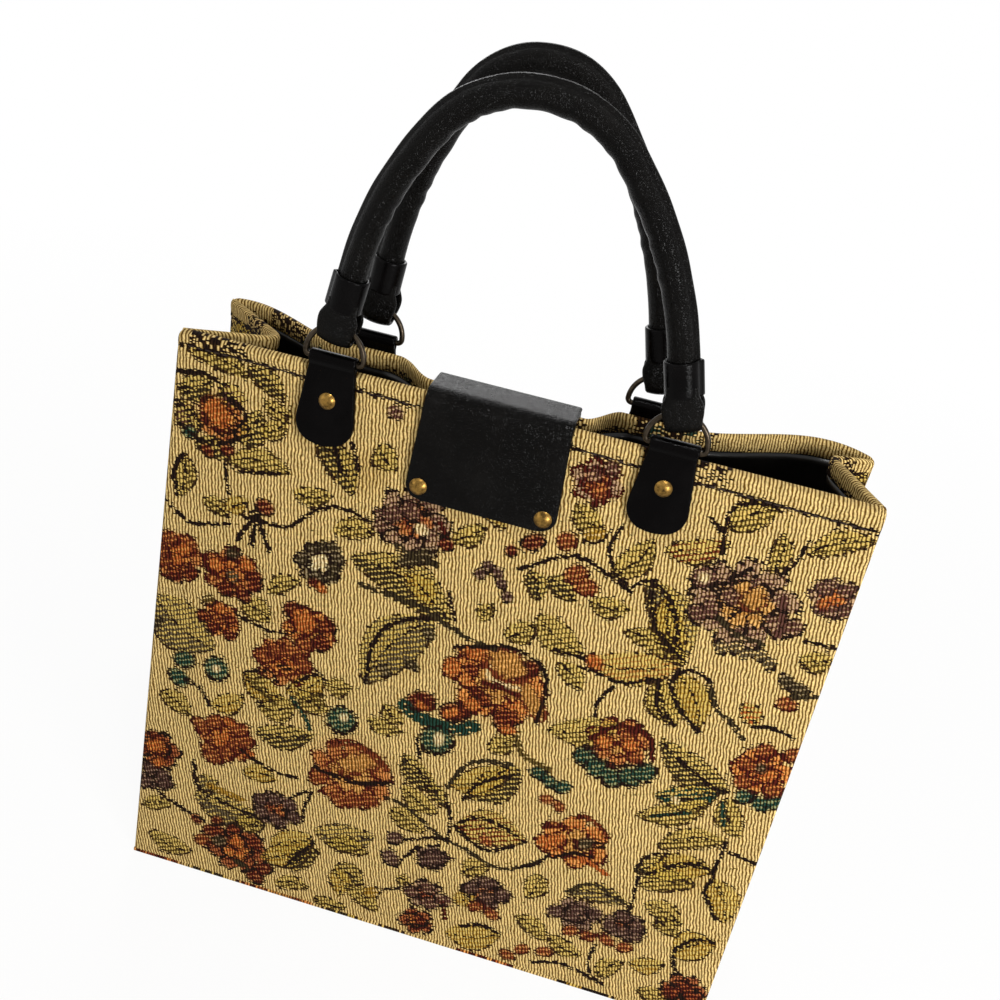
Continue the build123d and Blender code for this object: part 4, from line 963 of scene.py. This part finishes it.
def gusset_line(side):
    """The line of one gusset in plan: from the front to the fold and on to the back, the fold rounded."""
    depth, fold_y = GUSSET_FOLDS[side]
    rounding = np.linspace(-0.09, 0.09, 7)

    def line(share, t):
        t = np.asarray(t, dtype=float) + 0 * share
        front = -HALF_DEPTH + (FRONT_RIM_Y + HALF_DEPTH) * share + 3.2
        back = HALF_DEPTH + (BACK_CORNER_Y - HALF_DEPTH) * share - 3.2
        fold = fold_y * share
        x, y = 0 * t, 0 * t
        for shift in rounding:
            k = t + shift * smooth(0.0, 0.25, t) * smooth(0.0, 0.25, 1 - t)
            near = k < 0.5
            x += np.where(near, 2 * k, 2 - 2 * k) / len(rounding)
            y += np.where(near, front + (fold - front) * 2 * k, fold + (back - fold) * (2 * k - 1)) / len(rounding)
        return side * (HALF_WIDTH - depth * share * x), y, 0 * t - side, 0 * t

    return line


def base_cloth():
    """The base's cloth: a slab of the base panel's own size, with its place on the flat cloth."""
    low, high = (np.array(c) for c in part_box("base_panel"))
    bm = bmesh.new()
    bmesh.ops.create_grid(bm, x_segments=90, y_segments=26, size=1.0)
    raised = bmesh.ops.extrude_face_region(bm, geom=list(bm.faces))["geom"]
    bmesh.ops.translate(bm, verts=[v for v in raised if isinstance(v, bmesh.types.BMVert)], vec=(0, 0, 2))
    bmesh.ops.recalc_face_normals(bm, faces=bm.faces)
    bmesh.ops.translate(bm, verts=bm.verts, vec=(0, 0, -1))
    shape = Matrix.Translation(Vector((low + high) / 2)) @ Matrix.Diagonal(Vector((high - low) / 2).to_4d())
    bmesh.ops.transform(bm, matrix=shape, verts=bm.verts)
    base = to_mesh(bm, "base_cloth")
    flat = np.empty(len(base.vertices) * 3)
    base.vertices.foreach_get("co", flat)
    flat = flat.reshape(-1, 3) / MM
    flat[:, 2] = 0
    base.attributes.new("weave", "FLOAT_VECTOR", "POINT").data.foreach_set("vector", flat.ravel())
    return base


class CARPETBAG_OT_walls(bpy.types.Operator):
    """Weave the front, back, gussets and base"""

    bl_idname = "carpet_bag.walls"
    bl_label = "Cloth walls"

    def execute(self, context):
        size = sizes(context)
        cloth = tapestry(context)
        step = size["cloth_step"]
        # Where leather holds the rim flat. Along the bent back rim, the same places lie further out.
        front_held = [(x, 15.0) for x in FRONT_TABS] + [(FITTINGS_X, 38.0)]
        back_held = [(x * 1.25, 22.0) for x in BACK_TABS] + [(FITTINGS_X * 1.2, 45.0)]
        # The walls that are not in front have their columns and rows a little wider apart.
        for node, line, wider, taller, held in (
            ("front_panel", front_line, 1.0, 1.0, front_held),
            ("back_panel", back_line, 1.2, 1.3, back_held),
        ):
            spots = even_spots(-HALF_WIDTH, HALF_WIDTH, step * wider)
            panel = cloth_wall(
                node + "_cloth", line, spots, PANEL_THICK, PANEL_HEM, step * taller,
                lambda u, z: rim_relief(u, z, size, held), CORNER_DROP,
            )
            dye(panel, DESIGN_SHIFTS[node])
            show(panel.name, panel, cloth, "bag", [node])
        spots = np.concatenate(([0.0, 0.003, 0.008], np.linspace(0.02, 0.98, 76), [0.992, 0.997, 1.0]))
        for side, node in ((-1, "left_gusset"), (1, "right_gusset")):
            gusset = cloth_wall(
                node + "_cloth", gusset_line(side), spots, GUSSET_THICK, GUSSET_HEM, step * 1.3,
                lambda u, z: gusset_relief(u, z, size, side),
            )
            dye(gusset, DESIGN_SHIFTS[node])
            show(gusset.name, gusset, cloth, "bag", [node])
        base = base_cloth()
        dye(base, DESIGN_SHIFTS["base_panel"])
        show(base.name, base, cloth, "bag", ["base_panel"])
        return {"FINISHED"}


class CARPETBAG_OT_stitching(bpy.types.Operator):
    """Sew the row of stitches below the front and back rims"""

    bl_idname = "carpet_bag.stitching"
    bl_label = "Rim stitching"

    def execute(self, context):
        size = sizes(context)
        thread = fibres(
            context, "cotton_sewing_thread", "stitching", "#1f140a", "thread_fibres", (1.0, 4.0, 4.0)
        )
        half_sizes = Vector((size["stitch_length"] / 2, size["stitch_radius"], size["stitch_radius"])) * MM
        shape = Matrix.Diagonal(half_sizes.to_4d())
        for name, line, out, tabs in (
            ("front_rim_stitches", front_line, -1.0, FRONT_TABS),
            ("back_rim_stitches", back_line, 1.0, BACK_TABS),
        ):
            bm = bmesh.new()
            covered = [(x, 13.0) for x in tabs] + [(FITTINGS_X, 37.0)]
            for x in np.arange(-158.0, 158.5, size["stitch_pitch"]):
                if any(abs(x - middle) < half for middle, half in covered):
                    continue
                z = float(seam_height(x))
                here, ahead = np.stack(line(z / HEIGHT, np.array([x, x + 1.0]))[:2], axis=1)
                turn = Matrix.Rotation(math.atan2(*(ahead - here)[::-1]), 4, "Z")
                spot = Matrix.Translation(Vector((here[0], here[1] - 0.25 * out, z)) * MM)
                bmesh.ops.create_uvsphere(bm, u_segments=8, v_segments=5, radius=1.0, matrix=spot @ turn @ shape)
            for face in bm.faces:
                face.smooth = True
            show(name, to_mesh(bm, name), thread, "bag", [])
        return {"FINISHED"}


class CARPETBAG_OT_lining(bpy.types.Operator):
    """Hang the lining inside the walls"""

    bl_idname = "carpet_bag.lining"
    bl_label = "Lining"

    def execute(self, context):
        half = HALF_WIDTH - LINING_SIDE_GAP
        rounding = np.linspace(-0.006, 0.006, 5)

        def place(around, down):
            # Round the front, the right gusset, the back and the left gusset; the last rows close the floor.
            around = around % 1.0
            painted_groove_shade = np.clip((down - 0.85) / 0.15, 0, 1)
            z = LINING_TOP - (LINING_TOP - LINING_FLOOR) * np.clip(down / 0.85, 0, 1)
            share = z / HEIGHT
            x, y = 0 * z, 0 * z
            for shift in rounding:
                run = (around + shift) % 1.0 * 4
                stretch = run % 1.0
                wall = [run < 1, run < 2, run < 3]
                fx = -half + 2 * half * stretch
                fy = front_line(share, fx)[1] + LINING_PANEL_GAP
                by = back_line(share, -fx)[1] - LINING_PANEL_GAP
                rx, ry = gusset_line(1)(share, stretch)[:2]
                lx, ly = gusset_line(-1)(share, 1 - stretch)[:2]
                x += np.select(wall, [fx, rx - LINING_SIDE_GAP, -fx], lx + LINING_SIDE_GAP) / len(rounding)
                y += np.select(wall, [fy, ry, by], ly) / len(rounding)
            inward = 1.1 + waves(around * 900, z, 5.0)
            inward *= smooth(0, 30, LINING_TOP - z) * smooth(0, 30, z - LINING_FLOOR)
            run = around * 4
            y += inward * np.select([run < 1, (run >= 2) & (run < 3)], [1.0, -1.0], 0.0)
            return x * (1 - painted_groove_shade), y * (1 - painted_groove_shade), z

        mesh = bent_grid("lining_skin", 360, 90, place)
        close_mesh(mesh, fill=False)
        skin = show("lining_skin", mesh, vinyl(context), "bag", ["lining"])
        wall = skin.modifiers.new("thickness", "SOLIDIFY")
        wall.thickness = LINING_THICK * MM
        wall.offset = -1.0 if mesh.polygons[0].normal.dot(mesh.polygons[0].center) > 0 else 1.0
        return {"FINISHED"}


def leather_strip(name, route, rows, half_at, thick, put, bulge=0.0):
    """A strip of leather along a route in a plane; put turns side and the plane's two ways into a point."""

    def place(across, along):
        a, b, da, db, at, whole = path_frame(route, along)
        half = half_at(at, whole)
        side, rise = strip_section(across, half, thick)
        rise = rise - bulge * np.clip(1 - (side / half) ** 2, 0, 1)
        return put(side, a - db * rise, b + da * rise)

    mesh = bent_grid(name, 60, rows, place)
    close_mesh(mesh)
    return mesh


def corner_cut(left, radius):
    """How much a rounded end takes off each side, at a distance left to the end."""
    short = np.clip(radius - left, 0, radius)
    return radius - np.sqrt(radius * radius - short * short)


class CARPETBAG_OT_strap(bpy.types.Operator):
    """Cut the closing strap: the flap over the mouth and the part riveted to the back"""

    bl_idname = "carpet_bag.strap"
    bl_label = "Closing strap"

    def execute(self, context):
        hide = leather(context, "leather_grained_strap", "leather", 0.2, 0.5, 1.0, 0.055)
        thick = sizes(context)["strap_leather"]

        def put(side, y, z):
            return FITTINGS_X + side, y, z

        def flap_half(at, whole):
            return STRAP_HALF + STRAP_FLARE * smooth(20, 75, at) - corner_cut(whole - at, STRAP_CORNER)

        def anchor_half(at, whole):
            return STRAP_HALF - corner_cut(whole - at, STRAP_CORNER)

        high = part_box("closing_flap")[1]
        level = high[2] / MM - thick / 2
        bend = arc_points((STRAP_BEND_Y, level - STRAP_BEND), STRAP_BEND, 90.0, STRAP_BEND_END, 16)
        flap_route = [(high[1] / MM, level)] + bend + [STRAP_TIP]
        cos, sin = wall_lean(1, BACK_MIDDLE_Y)
        top = (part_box("flap_anchor")[1][2] / MM - HEIGHT) / cos - HINGE_GAP
        anchor_route = [
            (BACK_MIDDLE_Y + cos * thick / 2 - sin * up, HEIGHT + sin * thick / 2 + cos * up)
            for up in (top, -ANCHOR_DROP)
        ]
        for name, route, rows, half_at, body, node in (
            ("strap_flap", flap_route, 90, flap_half, "flap", "closing_flap"),
            ("strap_anchor", anchor_route, 60, anchor_half, "bag", "flap_anchor"),
        ):
            strip = leather_strip(name, route, rows, half_at, thick, put)
            show(strip.name, strip, hide, body, [node])
        return {"FINISHED"}


class CARPETBAG_OT_tabs(bpy.types.Operator):
    """Fold the four ring tabs"""

    bl_idname = "carpet_bag.tabs"
    bl_label = "Ring tabs"

    def execute(self, context):
        hide = leather(context, "leather_smooth_tab", "smooth_leather", 0.19, 0.15, 1.2, 0.035)
        thick = sizes(context)["tab_leather"]
        outer, inner = 1.5 * thick, 0.5 * thick
        route = [(outer, -TAB_LENGTH), (outer, 0.2), (outer + 0.1, 1.3)]
        route += arc_points((thick, EYE_RISE), EYE_RADIUS + thick / 2, -40.0, 220.0, 26)
        route += [(inner - 0.1, 1.3), (inner, 0.2), (inner, -TAB_LENGTH)]

        def half_at(at, whole):
            left = np.minimum(at, whole - at)
            return TAB_HALF - TAB_TAPER * np.clip(left / TAB_LENGTH, 0, 1) - corner_cut(left, TAB_CORNER)

        for wall, facing, middles, rim_y in (
            ("front", -1, FRONT_TABS, FRONT_RIM_Y),
            ("back", 1, BACK_TABS, BACK_TAB_Y),
        ):
            cos, sin = wall_lean(facing, rim_y)
            for middle, word in zip(middles, ("left", "right")):

                def put(side, out, up):
                    return middle + side, rim_y + facing * (cos * out - sin * up), HEIGHT + sin * out + cos * up

                node = "%s_%s_tab" % (wall, word)
                tab = leather_strip(node + "_leather", route, 120, half_at, thick, put)
                show(tab.name, tab, hide, "bag", [node])
        return {"FINISHED"}


def handle_route(half, leans, crown_shift, rise):
    """The line of a handle in its own plane, from its left foot over the crown to its right foot."""
    foot = FOOT_START + FOOT_RUN
    shoulders, crowns, spreads = [], [], [90 - lean - SHOULDER_TURN for lean in leans]
    # Each side's two radii, so that shoulder and crown together reach the top of the handle.
    for lean, span in zip(leans, (half + crown_shift, half - crown_shift)):
        heading, shoulder = math.radians(90 - lean), math.radians(90 - lean - SHOULDER_TURN)
        reach, climb = span - foot * math.cos(heading), rise - foot * math.sin(heading)
        sx, sz = math.sin(heading) - math.sin(shoulder), math.cos(shoulder) - math.cos(heading)
        cx, cz = math.sin(shoulder), 1 - math.cos(shoulder)
        scale = sx * cz - cx * sz
        shoulders.append((reach * cz - cx * climb) / scale)
        crowns.append((sx * climb - sz * reach) / scale)
    lean = math.radians(leans[0])
    x, z = -half + FOOT_START * math.sin(lean), FOOT_START * math.cos(lean)
    heading = 90.0 - leans[0]
    points = [(x, z)]
    turns = (
        (0.0, FOOT_RUN), (shoulders[0], SHOULDER_TURN), (crowns[0], spreads[0]),
        (crowns[1], spreads[1]), (shoulders[1], SHOULDER_TURN), (0.0, FOOT_RUN),
    )
    steps = 40
    for radius, amount in turns:
        bend = amount / steps if radius else 0.0
        run = radius * math.radians(amount) / steps if radius else amount / steps
        for _ in range(steps):
            middle = math.radians(heading - bend / 2)
            x, z = x + run * math.cos(middle), z + run * math.sin(middle)
            heading -= bend
            points.append((x, z))
    return points


def roll_radius(angle, extra):
    """How far a rolled handle reaches outwards and sideways at an angle round it; its welt is outside."""
    out, side = (ROLL_OUT + extra) * np.cos(angle), (ROLL_SIDE + extra) * np.sin(angle)
    outer = np.cos(angle) > 0
    welt = np.exp(-((side / WELT_HALF) ** 4)) * outer
    seam = np.exp(-(((np.abs(side) - SEAM_AWAY) / SEAM_HALF) ** 2)) * outer
    return out + WELT_RISE * welt - SEAM_DEPTH * seam, side


class CARPETBAG_OT_handles(bpy.types.Operator):
    """Roll the two handles and fold the loops at their feet"""

    bl_idname = "carpet_bag.handles"
    bl_label = "Rolled handles"

    def execute(self, context):
        hide = leather(context, "leather_grained_handle", "leather", 0.22, 0.6, 1.0, 0.06)
        plain = leather(context, "leather_smooth_sleeve", "smooth_leather", 0.18, 0.15, 1.2, 0.05)
        thick = sizes(context)["loop_leather"]
        mid = LOOP_RADIUS - thick / 2
        near, far = LOOP_ENDS
        fold = [(-mid + 0.5, far), (-mid, near)] + arc_points((0, 0), mid, 180, 360, 24)
        fold += [(mid, near), (mid - 0.5, far)]

        def loop_half(at, whole):
            left = np.minimum(at, whole - at)
            swell = np.sin(math.pi * np.clip((left - 4) / 12, 0, 1))
            return LOOP_HALF + 1.0 * swell - 1.2 * (1 - smooth(2.0, 9.0, left))

        # Middle of each handle's feet, half the way between them, their leans, and shift and rise of the crown.
        for wall, middle_x, bar, half, leans, shift, rise in (
            ("front", FITTINGS_X, FRONT_BAR, 79.0, (9.0, 16.0), -6.2, 116.0),
            ("back", BACK_HANDLE_X, BACK_BAR, 70.0, (6.0, 15.0), -9.3, 124.7),
        ):
            origin = (middle_x, bar[0], bar[1] + LOOP_RISE)
            route = handle_route(half, leans, shift, rise)

            def rolled(across, along):
                x, z, dx, dz, at, whole = path_frame(route, along)
                angle = across * 2 * math.pi
                out, side = roll_radius(angle, 0.0)
                bent = smooth(30, 60, np.minimum(at, whole - at))
                inner = smooth(0.1, 0.9, -np.cos(angle))
                pinch = np.sin(at / 2.1 + 2.3 * np.sin(at / 9.1) + 0.8 * np.sin(angle * 2))
                pinch *= np.sin(at / 6.7 + np.sin(at / 17))
                wrinkle = np.sin(at / 5.3 + 3 * np.sin(angle)) * np.sin(at / 13.7 + angle)
                out = out + 0.3 * inner * bent * pinch + 0.16 * wrinkle * (1 - inner)
                return origin[0] + x - dz * out, origin[1] + side, origin[2] + z + dx * out

            meshes = [bent_grid(wall + "_roll", 44, 420, rolled)]
            close_mesh(meshes[0])
            for end, word, lean in zip((-1, 1), ("left", "right"), leans):
                cos, sin = math.cos(math.radians(lean)), math.sin(math.radians(lean))

                def put(side, out, up):
                    x = end * (half - up * sin) + side * cos
                    return origin[0] + x, origin[1] + out, origin[2] + up * cos + end * side * sin

                def sleeved(across, along):
                    axial, radial = strip_section(along, SLEEVE_HALF, SLEEVE_THICK)
                    out, side = roll_radius(across * 2 * math.pi, SLEEVE_OFF + radial)
                    return put(end * out, side, SLEEVE_MIDDLE + axial)

                meshes.append(leather_strip("loop", fold, 70, loop_half, thick, put, LOOP_BULGE))
                node = "%s_%s_sleeve" % (wall, word)
                sleeve = bent_grid(node + "_leather", 44, 48, sleeved)
                close_mesh(sleeve)
                show(sleeve.name, sleeve, plain, wall + "_handle", [node])
            whole = join_meshes(wall + "_handle_leather", meshes)
            show(whole.name, whole, hide, wall + "_handle", [wall + "_handle"])
        return {"FINISHED"}


class CARPETBAG_OT_fittings(bpy.types.Operator):
    """Finish the rings, rivets, press studs and board of the solids"""

    bl_idname = "carpet_bag.fittings"
    bl_label = "Metal and board"

    def execute(self, context):
        brass = worn_metal(
            context, "brass_worn", tint(context, "brass"), tint(context, "tarnish"), 0.3, "brass_film"
        )
        bronze = worn_metal(
            context, "bronze_plated_wire", tint(context, "bronze"), linear("#2a241d"), 0.28, "wire_film"
        )
        board = fibres(context, "fibre_board", "board", "#4b463d", "board_fibres", (1.0, 3.0, 1.0))
        finishes = dict.fromkeys(("tab_rivets", "anchor_rivets", "snap_caps", "snap_studs"), brass)
        finishes["base_board"] = board
        for name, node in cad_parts.items():
            material = bronze if name.endswith("_ring") else finishes.get(name)
            if material:
                node.data.materials.clear()
                node.data.materials.append(material)
        return {"FINISHED"}


def seen_rays(tree):
    """1 for the rays that meet the eye: straight from the camera, by a reflection or through glass."""
    path = add_node(tree, "ShaderNodeLightPath").outputs
    seen = path["Is Camera Ray"]
    for kind in ("Is Glossy Ray", "Is Transmission Ray"):
        seen = add_node(tree, MATH, {0: seen, 1: path[kind]}, operation="MAXIMUM")
    return seen


class CARPETBAG_OT_stage(bpy.types.Operator):
    """Set the floor, the soft lights and the camera"""

    bl_idname = "carpet_bag.stage"
    bl_label = "Stage"

    def execute(self, context):
        scene = context.scene
        scene.view_settings.view_transform = "Standard"
        self.lay_floor(context)
        self.light(scene)
        self.aim_camera(scene)
        return {"FINISHED"}

    def lay_floor(self, context):
        bm = bmesh.new()
        bmesh.ops.create_grid(bm, x_segments=2, y_segments=2, size=40.0)
        mesh = to_mesh(bm, "studio_floor")
        floor = bpy.data.objects.new("studio_floor", mesh)
        context.scene.collection.objects.link(floor)
        # Painted studio floor: matt and pale. What the camera sees is lifted to white, wholly so further off,
        # and less near the bag, where the shadow is kept.
        material, tree, shader = new_material("painted_floor", Roughness=0.9)
        shader.inputs["Base Color"].default_value = tint(context, "floor")
        place = add_node(tree, "ShaderNodeTexCoord").outputs["Object"]
        away = add_node(tree, VECTOR, {0: place}, operation="LENGTH").outputs["Value"]
        clear = add_node(tree, RANGE, {0: away}, {1: 0.2, 2: 1.4, 3: 0.92, 4: 1.0})
        lifted = add_node(tree, MATH, {0: seen_rays(tree), 1: clear}, operation="MULTIPLY")
        glow = add_node(tree, "ShaderNodeEmission", values={"Color": (1.0, 1.0, 1.0, 1.0), "Strength": 1.0})
        mixed = add_node(tree, "ShaderNodeMixShader", {0: lifted, 1: shader, 2: glow})
        tree.links.new(mixed.outputs[0], tree.nodes["Material Output"].inputs["Surface"])
        mesh.materials.append(material)

    def light(self, scene):
        scene.world = bpy.data.worlds.new("studio")
        scene.world.use_nodes = True
        tree = scene.world.node_tree
        tree.nodes.clear()
        room = add_node(tree, "ShaderNodeBackground", values={"Color": (1.0, 0.98, 0.95, 1.0), "Strength": 0.26})
        white = add_node(tree, "ShaderNodeBackground", values={"Color": (1.0, 1.0, 1.0, 1.0), "Strength": 1.0})
        mixed = add_node(tree, "ShaderNodeMixShader", {0: seen_rays(tree), 1: room, 2: white})
        add_node(tree, "ShaderNodeOutputWorld", {"Surface": mixed})
        for name, place, power, width in LIGHTS:
            data = bpy.data.lights.new(name, "AREA")
            data.energy = power
            data.size = width
            lamp = bpy.data.objects.new(name, data)
            scene.collection.objects.link(lamp)
            lamp.location = place
            lamp.rotation_euler = (Vector(LIGHTS_AIM) - Vector(place)).to_track_quat("-Z", "Y").to_euler()

    def aim_camera(self, scene):
        azimuth, elevation, roll = (math.radians(a) for a in CAMERA_ANGLES)
        flat = math.cos(elevation)
        back = Vector((math.sin(azimuth) * flat, -math.cos(azimuth) * flat, math.sin(elevation)))
        right = Vector((math.cos(azimuth), math.sin(azimuth), 0.0))
        up = back.cross(right)
        turned = math.cos(roll) * right + math.sin(roll) * up
        upright = -math.sin(roll) * right + math.cos(roll) * up
        eye = Vector(CAMERA_AIM) + back * CAMERA_AWAY
        data = bpy.data.cameras.new("camera")
        data.sensor_fit = "HORIZONTAL"
        data.sensor_width = SENSOR_WIDTH
        data.lens = FOCAL_PIXELS * SENSOR_WIDTH / IMAGE_PIXELS
        data.clip_start = 0.01
        camera = bpy.data.objects.new("camera", data)
        scene.collection.objects.link(camera)
        camera.matrix_world = Matrix.Translation(eye) @ Matrix((turned, upright, back)).transposed().to_4x4()
        scene.camera = camera


OPERATORS = (
    CARPETBAG_OT_stage,
    CARPETBAG_OT_walls,
    CARPETBAG_OT_stitching,
    CARPETBAG_OT_lining,
    CARPETBAG_OT_strap,
    CARPETBAG_OT_tabs,
    CARPETBAG_OT_handles,
    CARPETBAG_OT_fittings,
)


class CARPETBAG_PT_panel(bpy.types.Panel):
    """Sizes, colours and the steps that build the bag"""

    bl_idname = "CARPETBAG_PT_panel"
    bl_label = "Carpet bag"
    bl_space_type = "VIEW_3D"
    bl_region_type = "UI"
    bl_category = "Carpet bag"

    def draw(self, context):
        for group in (context.scene.carpet_bag_sizes, context.scene.carpet_bag_colours):
            box = self.layout.box()
            for name in group.__annotations__:
                box.prop(group, name)
        for operator in OPERATORS:
            self.layout.operator(operator.bl_idname)


CLASSES = (CarpetBagSizes, CarpetBagColours) + OPERATORS + (CARPETBAG_PT_panel,)


def register():
    for cls in CLASSES:
        bpy.utils.register_class(cls)
    bpy.types.Scene.carpet_bag_sizes = PointerProperty(type=CarpetBagSizes)
    bpy.types.Scene.carpet_bag_colours = PointerProperty(type=CarpetBagColours)


def unregister():
    del bpy.types.Scene.carpet_bag_colours
    del bpy.types.Scene.carpet_bag_sizes
    for cls in reversed(CLASSES):
        bpy.utils.unregister_class(cls)


def main():
    register()
    for operator in OPERATORS:
        group, name = operator.bl_idname.split(".")
        getattr(getattr(bpy.ops, group), name)()


if __name__ == "__main__":
    main()
